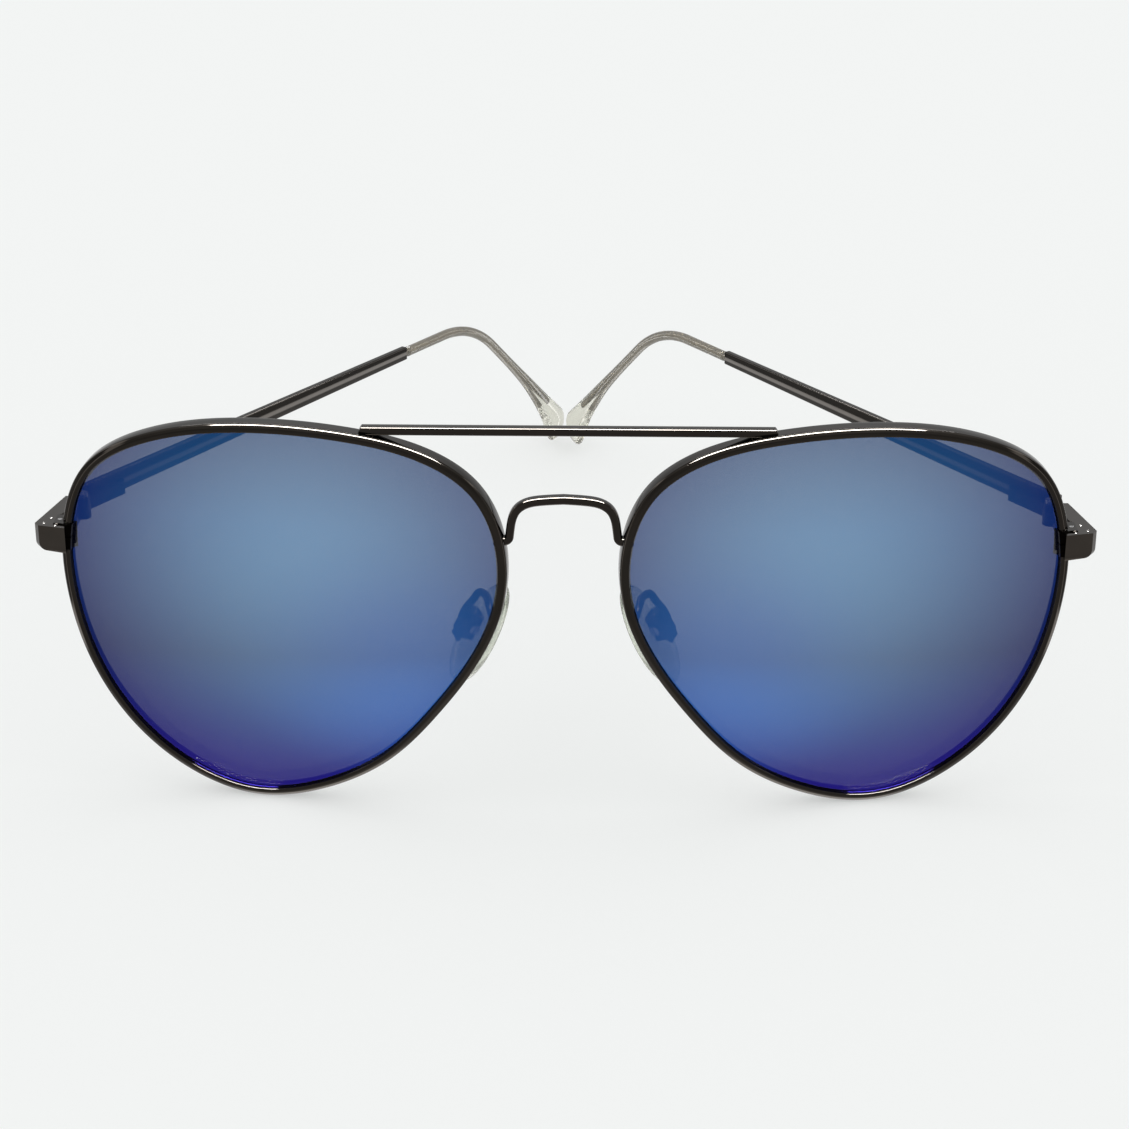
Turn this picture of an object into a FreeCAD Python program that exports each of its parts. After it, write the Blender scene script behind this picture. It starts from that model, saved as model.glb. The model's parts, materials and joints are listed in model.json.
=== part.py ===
import FreeCAD, Part
import math
import os

# Aviator sunglasses with two wire temples, folded part of the way in and standing on a table.
# Millimetres. The pieces are made in the temple frame: X to the wearer's left, Y from the front
# of the sunglasses towards the ears, Z along the hinge screws, origin midway between the hinges.
# At the end everything is tipped so that both rims and the temple tips stand on Z = 0.

V = FreeCAD.Vector

# Lens and rim
LENS_CENTRE = V(37.6, -8.3, -7.25)  # front of the wearer's-left lens, at its optical centre
FACE_FORM = 5.0                     # degrees, each lens turned towards its temple
LENS_LEAN = 2.0                     # degrees, bottom of the lens back
LENS_RADIUS = 110.0
LENS_THICK = 1.6
RIM_WIDTH = 1.2                     # seen from the front
RIM_LIP = 0.45                      # wall in front of the lens, and behind it
GROOVE_DEPTH = 0.6
LENS_PLAY = 0.03                    # lens to groove, on each face
LENS_INSET = 0.65                   # lens edge inside the rim's outer edge
RIM_KNOTS = [                       # outer edge: towards the temple, up
    (29.7, 0.0), (29.5, 9.2), (26.2, 17.0), (18.3, 22.0), (5.0, 24.5), (-9.2, 23.7),
    (-18.4, 21.3), (-26.1, 16.0), (-29.8, 1.6), (-26.5, -8.0), (-20.6, -16.6), (-13.6, -24.2),
    (-4.4, -29.4), (5.6, -31.1), (15.3, -27.1), (22.8, -19.5), (27.4, -10.5),
]

# Closing block, which holds the two ends of the rim round the lens
BLOCK_HEIGHT = 3.6
BLOCK_SPLIT = 0.16
BLOCK_OUT = 67.93                   # X of its outer face
BLOCK_SCREW_X = 67.3
BLOCK_SCREW_Y = -0.7
BLOCK_SCREW_R = 0.32
BLOCK_HEAD_R = 0.5
BLOCK_HEAD_TALL = 0.45
BLOCK_WALL = 0.25                   # how much thicker than the rim
LUG_IN = 65.3                       # X of the lug's inner side
LUG_FRONT = -2.25                   # Y of its front and back
LUG_BACK = 0.9
SLOT_HALF = 0.08                    # half the width of a small screw's slot
SLOT_DEEP = 0.18
JOINT_GAP = 0.02                    # soldered and screwed faces

# End piece, which carries the hinge
END_TOP = 1.6
END_BOTTOM = -2.0
END_PLAN = [
    (66.2, -3.6), (69.9, -2.6), (70.5, -1.7), (68.4, 8.5), (67.34, 8.5),
    (67.34, 2.2), (67.95, 1.2), (67.95, -2.35), (66.2, -2.35),
]
END_ROUND = 1.1                     # the corner under the front face
END_ROUND_FROM = 68.0               # X outboard of which that corner is rounded

# Hinge: two knuckles on the front, one on the temple
HINGE_X = 66.2
HINGE_Y = 8.6
KNUCKLE_R = 1.1
KNUCKLE_HALF = 0.65                 # half the middle knuckle's height
KNUCKLE_END = 1.5                   # top and bottom of the outer knuckles
KNUCKLE_GAP = 0.08
HINGE_SCREW_R = 0.55
HINGE_PLAY = 0.05                   # temple knuckle on the screw
LEAF_IN = 0.15                      # leaf plates, outboard of the screw
LEAF_OUT = 1.05
LEAF_START = 1.35
FRONT_LEAF_END = 6.2
TEMPLE_LEAF_END = 9.5
TEMPLE_LEAF_HALF = 0.95             # half its height
TEMPLE_LEAF_BEVEL = 0.6
LEAF_OVERLAP = 0.1                  # web into the leaf plate
HINGE_HEAD_R = 0.9
HINGE_HEAD_TALL = 0.55
HINGE_HEAD_SLOT = 0.3               # bottom of the slot above the knuckle
HINGE_SLOT_HALF = 0.12
HINGE_SCREW_OVER = 0.1              # shank past the knuckles, above and below
HINGE_SCREW_UNDER = 0.15

# Temple
BLADE_IN = 1.1
BLADE_OUT = 2.3
BLADE_START = 0.4
BLADE_END = 79.0
BLADE_TALL = 3.2
BLADE_TALL_END = 2.15
BLADE_EDGE = 0.34                   # rounding of its long edges
TEMPLE_RISE = 0.65                  # centre of the blade above the middle of the hinge
CORE_R = 0.48
SLEEVE_PLAY = 0.03
BEND_CORNER = 98.5                  # where the two straight lines of the temple would meet
BEND_RADIUS = 22.0
BEND_ANGLE = 41.2
CORE_LENGTH = 31.0                  # from that corner to the end of the steel
SLEEVE_SECTIONS = [                 # distance down the slope from the corner, tall, wide, drop
    (18.0, 1.75, 1.55, 0.0), (24.0, 2.3, 1.7, 0.15), (29.5, 3.4, 1.8, 0.6),
    (34.0, 4.9, 1.9, 1.2), (37.0, 6.3, 1.9, 1.75), (38.8, 5.7, 1.8, 1.85),
    (39.6, 3.4, 1.2, 1.9),
]
SLEEVE_TALL = 1.6
SLEEVE_WIDE = 1.5
RIGHT_FOLD = 30.8                   # degrees folded in from straight back, as it stands
LEFT_FOLD = 32.7

# Nose pads (wearer's left)
PAD_CENTRE = V(11.7, 4.4, -16.5)
PAD_UP = V(-0.47, -0.03, 0.88)
PAD_FACE = V(-0.80, 0.45, -0.40)    # towards the nose
PAD_LONG = 16.0
PAD_WIDE = 8.0
PAD_THICK = 2.4
BOX_UP = 1.2                        # middle of the box above the middle of the pad
BOX_LONG = 4.0
BOX_WIDE = 3.0
BOX_DEEP = 1.9
BOX_WALL = 0.4
BOX_OFF = 0.35                      # open face of the box behind the pad
BOX_CORNER = 0.35
BOX_LIP_OUT = 0.7                   # lip past the box's lower end
BOX_LIP_IN = 0.5
INSERT_PLAY = 0.15
PEG_R = 0.65
PAD_ROUND = 0.45                    # rounding of the cushion, as a share of its thickness
PAD_SCREW_R = 0.4
PAD_SCREW_IN = 0.75                 # its axis behind the open face of the box
PAD_SCREW_PLAY = 0.05
PAD_SCREW_PAST = 0.1
PAD_HEAD_R = 0.7
PAD_HEAD_TALL = 0.4
PAD_SLOT_HALF = 0.09
PAD_WIRE_R = 0.55
PAD_WIRE_TOUCH = 1.3                # end of the wire below the top of the box
PAD_WIRE_BEFORE = 0.2               # last bend above the top of the box
PAD_WIRE = [                        # from the back of the rim, over, and down to the box
    V(9.4, -4.3, -11.2), V(9.7, -2.2, -10.9), V(10.2, 0.2, -10.4), V(10.8, 1.9, -9.8),
    V(11.6, 2.6, -9.75), V(12.3, 2.6, -10.6),
]

# Bridge and brow bar
BRIDGE_Y = -5.8
BRIDGE_TALL = 1.15
BRIDGE_DEEP = 1.45
BRIDGE_ARCH = [                     # one half, from the top down to the foot: X, Z
    (0.0, 7.05), (3.0, 6.85), (5.05, 6.38), (6.15, 5.55), (6.65, 4.6), (6.97, 3.0), (7.25, 1.3),
]
BRIDGE_FOOT_LOW = 0.6
BRIDGE_FOOT_HIGH = 1.9
BRIDGE_FOOT_LONG = 3.0              # before the rim is cut from it
BRIDGE_FOOT_DEEP = 1.3
BRIDGE_FOOT_ROUND = 0.3
BAR_MIDDLE = 0.6
BAR_HALF = 27.2
BAR_SLANT = 0.5
BAR_Y = -5.85
BAR_Z = 16.5
BAR_TALL = 1.1
BAR_DEEP = 1.5
BAR_BEVEL = 0.25
BAR_FOOT_X = 25.0
BAR_FOOT_LONG = 1.8
BAR_FOOT_DEEP = 1.0
BAR_FOOT_DOWN = 1.5                 # before the rim is cut from it
BAR_FOOT_UP = 0.3

# Standing on the table
STAND_TILT = 4.766                  # degrees

PAST = 1.0                          # how far a cutter runs past the face it opens
NEAR = 0.01                         # slack when edges are picked by position
PLUG_DEEP = 40.0                    # straight-sided plugs of the rim's outline
PLUG_BEHIND = 30.0                  # share of that behind the lens
BAND_HALF_Y = 12.0                  # the closing blocks lie within this of the hinge line
BAND_IN = 60.0                      # and outboard of this

X_AXIS = V(1, 0, 0)
Y_AXIS = V(0, 1, 0)
Z_AXIS = V(0, 0, 1)
ORIGIN = V(0, 0, 0)


def axes_matrix(origin, along_x, along_y, along_z):
    """The matrix that carries a local frame to the temple frame."""
    return FreeCAD.Matrix(
        along_x.x, along_y.x, along_z.x, origin.x,
        along_x.y, along_y.y, along_z.y, origin.y,
        along_x.z, along_y.z, along_z.z, origin.z,
        0, 0, 0, 1,
    )


def placed(shape, matrix):
    moved = shape.copy()
    moved.Placement = FreeCAD.Placement(matrix).multiply(moved.Placement)
    return moved


def lens_matrix():
    """Lens frame: X towards the temple, Y up, Z forwards out of the lens."""
    form = math.radians(FACE_FORM)
    lean = math.radians(LENS_LEAN)
    outwards = V(math.cos(form), math.sin(form), 0)
    forwards = V(
        math.sin(form) * math.cos(lean), -math.cos(form) * math.cos(lean), -math.sin(lean)
    )
    return axes_matrix(LENS_CENTRE, outwards, forwards.cross(outwards), forwards)


def box_between(low, high):
    size = high.sub(low)
    return Part.makeBox(size.x, size.y, size.z, low)


def rim_outline(inset):
    """Closed curve through the rim's knots, each moved inwards by the inset."""
    curve = Part.BSplineCurve()
    curve.interpolate(Points=[V(x, y, 0) for x, y in RIM_KNOTS], PeriodicFlag=True)
    moved = []
    for x, y in RIM_KNOTS:
        tangent = curve.tangent(curve.parameter(V(x, y, 0)))[0]
        inwards = Z_AXIS.cross(tangent).normalize()
        moved.append(V(x, y, 0).add(inwards.multiply(inset)))
    result = Part.BSplineCurve()
    result.interpolate(Points=moved, PeriodicFlag=True)
    return Part.Wire(result.toShape())


def prism(inset):
    """Straight-sided plug of the rim's outline, deep enough for the whole curved lens."""
    plug = Part.Face(rim_outline(inset)).extrude(V(0, 0, PLUG_DEEP))
    plug.translate(V(0, 0, -PLUG_BEHIND))
    return plug


def shell(front, back):
    """Layer between two spheres about the lens's centre of curvature."""
    centre = V(0, 0, -LENS_RADIUS)
    outer = Part.makeSphere(LENS_RADIUS + front, centre)
    return outer.cut(Part.makeSphere(LENS_RADIUS - back, centre))


def make_lens():
    return prism(LENS_INSET).common(shell(0.0, LENS_THICK))


def groove():
    return prism(RIM_WIDTH - GROOVE_DEPTH - 2 * LENS_PLAY).common(
        shell(LENS_PLAY, LENS_THICK + LENS_PLAY)
    )


def rim_band(grow):
    """The whole rim with no groove, grown on every side."""
    band = prism(-grow).cut(prism(RIM_WIDTH + grow))
    return band.common(shell(RIM_LIP + grow, LENS_THICK + RIM_LIP + grow))


def block_space(grow):
    """Where the closing block sits, in the temple frame."""
    half = BLOCK_HEIGHT / 2 + grow
    return box_between(V(BAND_IN, -BAND_HALF_Y, -half), V(BLOCK_OUT + grow, BAND_HALF_Y, half))


def make_rim():
    ring = rim_band(0.0).cut(groove())
    ring = placed(ring, lens_matrix())
    return ring.cut(block_space(JOINT_GAP))


def blocks_whole(grow):
    """Both closing blocks in one: the rim's own section, thicker, with a lug for the screw."""
    collar = placed(rim_band(BLOCK_WALL + grow), lens_matrix()).common(block_space(grow))
    half = BLOCK_HEIGHT / 2 + grow
    lug = box_between(
        V(LUG_IN - grow, LUG_FRONT - grow, -half), V(BLOCK_OUT + grow, LUG_BACK + grow, half)
    )
    lens_side = placed(prism(RIM_WIDTH / 4 + grow), lens_matrix())
    return collar.fuse(lug.cut(lens_side))


def make_blocks():
    """Upper and lower closing block, bored for the screw that draws them together."""
    whole = blocks_whole(0.0).cut(placed(groove(), lens_matrix()))
    whole = whole.common(block_space(0.0)).removeSplitter()
    half = BLOCK_HEIGHT / 2
    screw_foot = V(BLOCK_SCREW_X, BLOCK_SCREW_Y, -half)
    bore = Part.makeCylinder(BLOCK_SCREW_R + JOINT_GAP, BLOCK_HEIGHT, screw_foot)
    head_room = Part.makeCylinder(BLOCK_HEAD_R + JOINT_GAP, BLOCK_HEAD_TALL, screw_foot)
    pieces = []
    for low, high in ((BLOCK_SPLIT / 2, half), (-half, -BLOCK_SPLIT / 2)):
        slab = block_space(0.0).common(
            box_between(V(0, -BLOCK_OUT, low), V(2 * BLOCK_OUT, BLOCK_OUT, high))
        )
        pieces.append(whole.common(slab).cut(bore).cut(head_room))
    return pieces


def make_block_screw():
    half = BLOCK_HEIGHT / 2
    place = V(BLOCK_SCREW_X, BLOCK_SCREW_Y, -half)
    shank = Part.makeCylinder(BLOCK_SCREW_R, BLOCK_HEIGHT, place)
    head = Part.makeCylinder(BLOCK_HEAD_R, BLOCK_HEAD_TALL - JOINT_GAP, place)
    slot = box_between(
        place.sub(V(BLOCK_HEAD_R, SLOT_HALF, SLOT_DEEP)),
        place.add(V(BLOCK_HEAD_R, SLOT_HALF, SLOT_DEEP)),
    )
    return shank.fuse(head).cut(slot).removeSplitter()


def plan_prism(points, low, high):
    wire = Part.makePolygon([V(x, y, low) for x, y in points + points[:1]])
    return Part.Face(wire).extrude(V(0, 0, high - low))


def make_end_piece():
    plate = plan_prism(END_PLAN, END_BOTTOM, END_TOP)
    corners = [
        edge for edge in plate.Edges
        if edge.BoundBox.ZMax < END_BOTTOM + NEAR
        and edge.BoundBox.XMin > END_ROUND_FROM
    ]
    plate = plate.makeFillet(END_ROUND, corners)
    rim = placed(rim_band(JOINT_GAP), lens_matrix())
    return plate.cut(rim).cut(blocks_whole(JOINT_GAP))


def knuckle(radius, low, high):
    return Part.makeCylinder(radius, high - low, V(0, 0, low))


def make_front_leaf():
    """Hinge frame: origin on the screw, X outboard, Y back."""
    leaf = box_between(
        V(LEAF_IN, -FRONT_LEAF_END, -KNUCKLE_END), V(LEAF_OUT, -LEAF_START, KNUCKLE_END)
    )
    inner = KNUCKLE_HALF + KNUCKLE_GAP
    for low, high in ((inner, KNUCKLE_END), (-KNUCKLE_END, -inner)):
        web = box_between(V(LEAF_IN, -LEAF_START - LEAF_OVERLAP, low), V(LEAF_OUT, 0, high))
        leaf = leaf.fuse(web).fuse(knuckle(KNUCKLE_R, low, high))
        leaf = leaf.cut(knuckle(HINGE_SCREW_R + JOINT_GAP, low - PAST, high + PAST))
    return leaf.removeSplitter()


def make_temple_leaf():
    plate = box_between(
        V(LEAF_IN, LEAF_START, -TEMPLE_LEAF_HALF), V(LEAF_OUT, TEMPLE_LEAF_END, TEMPLE_LEAF_HALF)
    )
    web = box_between(
        V(LEAF_IN, 0, -KNUCKLE_HALF), V(LEAF_OUT, LEAF_START + LEAF_OVERLAP, KNUCKLE_HALF)
    )
    leaf = plate.fuse(web).fuse(knuckle(KNUCKLE_R, -KNUCKLE_HALF, KNUCKLE_HALF))
    bore = knuckle(HINGE_SCREW_R + HINGE_PLAY, -KNUCKLE_HALF - PAST, KNUCKLE_HALF + PAST)
    leaf = leaf.cut(bore).removeSplitter()
    far = [
        edge for edge in leaf.Edges
        if edge.BoundBox.YMin > TEMPLE_LEAF_END - NEAR and edge.BoundBox.XMax < LEAF_IN + NEAR
    ]
    return leaf.makeChamfer(TEMPLE_LEAF_BEVEL, far)


def make_hinge_screw():
    shank = knuckle(
        HINGE_SCREW_R, -KNUCKLE_END - HINGE_SCREW_UNDER, KNUCKLE_END + HINGE_SCREW_OVER
    )
    head = knuckle(HINGE_HEAD_R, KNUCKLE_END + JOINT_GAP, KNUCKLE_END + HINGE_HEAD_TALL)
    slot = box_between(
        V(-HINGE_HEAD_R, -HINGE_SLOT_HALF, KNUCKLE_END + HINGE_HEAD_SLOT),
        V(HINGE_HEAD_R, HINGE_SLOT_HALF, KNUCKLE_END + PAST),
    )
    return shank.fuse(head).cut(slot).removeSplitter()


def make_blade():
    """Tapered flat bar with rounded long edges."""
    front = BLADE_TALL / 2
    back = BLADE_TALL_END / 2
    corners = [(BLADE_START, front), (BLADE_END, back), (BLADE_END, -back), (BLADE_START, -front)]
    points = [V(BLADE_IN, y, TEMPLE_RISE + z) for y, z in corners]
    side = Part.Face(Part.makePolygon(points + points[:1]))
    bar = side.extrude(V(BLADE_OUT - BLADE_IN, 0, 0))
    long_edges = [edge for edge in bar.Edges if edge.BoundBox.YLength > BLADE_TALL]
    return bar.makeFillet(BLADE_EDGE, long_edges)


def rounded_section(centre, across, up, wide, tall):
    """Rectangle with rounded corners, as a closed wire."""
    radius = 0.3 * min(wide, tall)
    flat_x = wide / 2 - radius
    flat_y = tall / 2 - radius
    turn = radius * math.sqrt(0.5)

    def at(x, y):
        return centre.add(V(across).multiply(x)).add(V(up).multiply(y))

    edges = []
    for sx, sy in ((1, 1), (-1, 1), (-1, -1), (1, -1)):
        start = at(sx * (flat_x + radius), sy * flat_y)
        middle = at(sx * (flat_x + turn), sy * (flat_y + turn))
        end = at(sx * flat_x, sy * (flat_y + radius))
        if sx * sy < 0:
            start, end = end, start
        edges.append(Part.Arc(start, middle, end).toShape())
    joined = []
    for here, after in zip(edges, edges[1:] + edges[:1]):
        joined.append(here)
        joined.append(Part.makeLine(here.lastVertex().Point, after.firstVertex().Point))
    return Part.Wire(joined)


def temple_point(slope):
    """Point on the temple's centre line, a distance down the slope from the bend's corner."""
    angle = math.radians(BEND_ANGLE)
    middle = (BLADE_IN + BLADE_OUT) / 2
    along = BEND_CORNER + slope * math.cos(angle)
    return V(middle, along, TEMPLE_RISE - slope * math.sin(angle))


def bend_points():
    """Start, middle and end of the bend's arc, and its directions there."""
    angle = math.radians(BEND_ANGLE)
    cut = BEND_RADIUS * math.tan(angle / 2)
    middle_x = (BLADE_IN + BLADE_OUT) / 2
    start = V(middle_x, BEND_CORNER - cut, TEMPLE_RISE)
    centre = start.sub(V(0, 0, BEND_RADIUS))
    points = []
    for part in (0.0, 0.5, 1.0):
        turn = angle * part
        point = centre.add(V(0, BEND_RADIUS * math.sin(turn), BEND_RADIUS * math.cos(turn)))
        points.append((point, turn))
    return points


def temple_rod(radius, first, last):
    """Round rod along the temple's centre line, from a place on the blade to one on the slope."""
    (start, _), (middle, _), (end, _) = bend_points()
    front = V(start.x, first, start.z)
    path = Part.Wire([
        Part.makeLine(front, start),
        Part.Arc(start, middle, end).toShape(),
        Part.makeLine(end, temple_point(last)),
    ])
    ring = Part.Wire(Part.makeCircle(radius, front, Y_AXIS))
    return path.makePipeShell([ring], True, True)


def make_core():
    return temple_rod(CORE_R, BLADE_END + JOINT_GAP, CORE_LENGTH)


def oval(centre, turn, tall, wide):
    """Oval across the temple, where the centre line points down by the turn."""
    along = V(0, math.cos(turn), -math.sin(turn))
    up = V(0, math.sin(turn), math.cos(turn))
    if tall >= wide:
        curve = Part.Ellipse(
            centre.add(V(up).multiply(tall / 2)), centre.add(V(X_AXIS).multiply(wide / 2)), centre
        )
    else:
        curve = Part.Ellipse(
            centre.add(V(X_AXIS).multiply(wide / 2)), centre.add(V(up).multiply(tall / 2)), centre
        )
    return Part.Wire(curve.toShape())


def make_sleeve():
    """Clear tip: a slim tube over the steel that widens to a flat paddle."""
    (start, _), (middle, _), (end, slope) = bend_points()
    front = V(start.x, BLADE_END + JOINT_GAP, start.z)
    path = Part.Wire([Part.makeLine(front, start), Part.Arc(start, middle, end).toShape()])
    ring = oval(front, 0.0, SLEEVE_TALL, SLEEVE_WIDE)
    tube = path.makePipeShell([ring], True, True)
    wires = [oval(end, slope, SLEEVE_TALL, SLEEVE_WIDE)]
    down = V(0, -math.sin(slope), -math.cos(slope))
    for distance, tall, wide, drop in SLEEVE_SECTIONS:
        centre = temple_point(distance).add(V(down).multiply(drop))
        wires.append(oval(centre, slope, tall, wide))
    paddle = Part.makeLoft(wires, True, True)
    bore = temple_rod(CORE_R + SLEEVE_PLAY, BLADE_END - PAST, CORE_LENGTH + SLEEVE_PLAY)
    return tube.fuse(paddle).cut(bore).removeSplitter()


def pad_matrix():
    """Pad frame: X across the pad, Y up its length, Z towards the nose, origin in the pad."""
    face = V(PAD_FACE).normalize()
    up = V(PAD_UP).sub(V(face).multiply(PAD_UP.dot(face))).normalize()
    return axes_matrix(PAD_CENTRE, up.cross(face), up, face)


def make_pad():
    """Rounded oval cushion with a flat back."""
    half = PAD_THICK / 2
    outline = Part.Ellipse(V(0, PAD_LONG / 2, -half), V(PAD_WIDE / 2, 0, -half), V(0, 0, -half))
    cushion = Part.Face(Part.Wire(outline.toShape())).extrude(V(0, 0, PAD_THICK))
    return cushion.makeFillet(PAD_ROUND * PAD_THICK, cushion.Edges)


def box_origin():
    """Middle of the box's open face, in the pad frame."""
    return V(0, BOX_UP, -PAD_THICK / 2 - BOX_OFF)


def make_pad_box():
    """Open box that holds the pad's peg, with a lip at its lower end."""
    mouth = box_origin()
    half_x = BOX_WIDE / 2
    low_y = mouth.y - BOX_LONG / 2
    high_y = mouth.y + BOX_LONG / 2
    floor = mouth.z - BOX_DEEP
    outer = box_between(V(-half_x, low_y, floor), V(half_x, high_y, mouth.z))
    upright = [e for e in outer.Edges if abs(e.BoundBox.ZLength - BOX_DEEP) < NEAR]
    outer = outer.makeFillet(BOX_CORNER, upright)
    inner = box_between(
        V(-half_x + BOX_WALL, low_y - PAST, floor + BOX_WALL),
        V(half_x - BOX_WALL, high_y - BOX_WALL, mouth.z + PAST),
    )
    lip = box_between(
        V(-half_x + BOX_WALL, low_y - BOX_LIP_OUT, floor),
        V(half_x - BOX_WALL, low_y + BOX_LIP_IN, floor + BOX_WALL),
    )
    screw = Part.makeCylinder(
        PAD_SCREW_R + JOINT_GAP, 2 * BOX_WIDE, V(-BOX_WIDE, BOX_UP, pad_screw_z()), X_AXIS
    )
    return outer.cut(inner).fuse(lip).cut(screw).removeSplitter()


def pad_screw_z():
    return box_origin().z - PAD_SCREW_IN


def make_pad_screw():
    half_x = BOX_WIDE / 2
    axis_z = pad_screw_z()
    start = V(-half_x, BOX_UP, axis_z)
    shank = Part.makeCylinder(PAD_SCREW_R, BOX_WIDE + PAD_SCREW_PAST, start, X_AXIS)
    head_x = half_x + JOINT_GAP
    head = Part.makeCylinder(PAD_HEAD_R, PAD_HEAD_TALL, V(head_x, BOX_UP, axis_z), X_AXIS)
    slot = box_between(
        V(head_x + PAD_HEAD_TALL / 2, BOX_UP - PAST, axis_z - PAD_SLOT_HALF),
        V(head_x + PAST, BOX_UP + PAST, axis_z + PAD_SLOT_HALF),
    )
    return shank.fuse(head).cut(slot).removeSplitter()


def make_pad_insert():
    """Peg on the back of the pad, turning on the box's screw."""
    half_x = BOX_WIDE / 2 - BOX_WALL - INSERT_PLAY
    top = -PAD_THICK / 2 - JOINT_GAP
    peg = box_between(
        V(-half_x, BOX_UP - PEG_R, pad_screw_z()), V(half_x, BOX_UP + PEG_R, top)
    )
    end = Part.makeCylinder(PEG_R, 2 * half_x, V(-half_x, BOX_UP, pad_screw_z()), X_AXIS)
    bore = Part.makeCylinder(
        PAD_SCREW_R + PAD_SCREW_PLAY, BOX_WIDE, V(-BOX_WIDE / 2, BOX_UP, pad_screw_z()), X_AXIS
    )
    return peg.fuse(end).cut(bore).removeSplitter()


def make_pad_arm():
    """Bent wire from the back of the rim, over a loop and down on to the back of the box."""
    floor = box_origin().z - BOX_DEEP - JOINT_GAP
    top = BOX_UP + BOX_LONG / 2
    touch = pad_matrix().multiply(V(0, top - PAD_WIRE_TOUCH, floor - PAD_WIRE_R))
    before = pad_matrix().multiply(V(0, top + PAD_WIRE_BEFORE, floor - PAD_WIRE_R))
    curve = Part.BSplineCurve()
    curve.interpolate(PAD_WIRE + [before, touch])
    start = curve.tangent(curve.FirstParameter)[0]
    ring = Part.Wire(Part.makeCircle(PAD_WIRE_R, PAD_WIRE[0], start))
    wire = Part.Wire(curve.toShape()).makePipeShell([ring], True, False)
    rim = prism(-PAST).common(shell(PAST, LENS_THICK + RIM_LIP + JOINT_GAP))
    return wire.cut(placed(rim, lens_matrix()))


def make_bridge():
    """Arched strip with a short foot turned out to each rim."""
    half = [V(x, BRIDGE_Y, z) for x, z in BRIDGE_ARCH]
    curve = Part.BSplineCurve()
    curve.interpolate([V(-p.x, p.y, p.z) for p in reversed(half[1:])] + half)
    start = curve.value(curve.FirstParameter)
    along = curve.tangent(curve.FirstParameter)[0]
    section = rounded_section(start, Y_AXIS.cross(along), Y_AXIS, BRIDGE_TALL, BRIDGE_DEEP)
    sweep = Part.BRepOffsetAPI.MakePipeShell(Part.Wire(curve.toShape()))
    sweep.setBiNormalMode(Y_AXIS)
    sweep.add(section)
    sweep.build()
    sweep.makeSolid()
    strip = sweep.shape()
    rim = placed(prism(-JOINT_GAP), lens_matrix())
    inner_x = half[-1].x - BRIDGE_TALL / 2
    foot = box_between(
        V(inner_x, BRIDGE_Y - BRIDGE_FOOT_DEEP / 2, BRIDGE_FOOT_LOW),
        V(inner_x + BRIDGE_FOOT_LONG, BRIDGE_Y + BRIDGE_FOOT_DEEP / 2, BRIDGE_FOOT_HIGH),
    )
    edges = [
        edge for edge in foot.Edges
        if edge.BoundBox.XMax < inner_x + NEAR and edge.BoundBox.ZMax < BRIDGE_FOOT_LOW + NEAR
    ]
    foot = foot.makeFillet(BRIDGE_FOOT_ROUND, edges)
    for cutter, piece in ((rim, foot), (mirrored(rim), mirrored(foot))):
        strip = strip.fuse(piece).cut(cutter)
    return strip.removeSplitter()


def make_brow_bar():
    """Straight bar with slanted ends and bevelled long edges, on a small foot at each rim."""
    half_y = BAR_DEEP / 2
    low = BAR_Z - BAR_TALL / 2
    high = BAR_Z + BAR_TALL / 2
    wire = Part.makePolygon([
        V(-BAR_HALF, 0, low), V(BAR_HALF, 0, low), V(BAR_HALF - BAR_SLANT, 0, high),
        V(-BAR_HALF + BAR_SLANT, 0, high), V(-BAR_HALF, 0, low),
    ])
    bar = Part.Face(wire).extrude(V(0, BAR_DEEP, 0))
    bar.translate(V(BAR_MIDDLE, BAR_Y - half_y, 0))
    long_edges = [e for e in bar.Edges if e.BoundBox.XLength > BAR_HALF]
    bar = bar.makeChamfer(BAR_BEVEL, long_edges)
    rim = placed(rim_band(JOINT_GAP), lens_matrix())
    under = placed(prism(0.0), lens_matrix())
    for side in (1, -1):
        middle = side * BAR_FOOT_X
        foot = box_between(
            V(middle - BAR_FOOT_LONG / 2, BAR_Y - BAR_FOOT_DEEP / 2, low - BAR_FOOT_DOWN),
            V(middle + BAR_FOOT_LONG / 2, BAR_Y + BAR_FOOT_DEEP / 2, low + BAR_FOOT_UP),
        )
        cutters = (rim, under) if side > 0 else (mirrored(rim), mirrored(under))
        for cutter in cutters:
            foot = foot.cut(cutter)
            bar = bar.cut(cutter)
        bar = bar.fuse(foot)
    return bar.removeSplitter()


def folded(shape, fold):
    """A temple piece in its hinge frame, turned inwards and set on the wearer's-left hinge."""
    turned = shape.copy()
    turned.rotate(ORIGIN, Z_AXIS, fold)
    turned.translate(V(HINGE_X, HINGE_Y, 0))
    return turned


def mirrored(shape):
    return shape.mirror(ORIGIN, X_AXIS)


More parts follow.
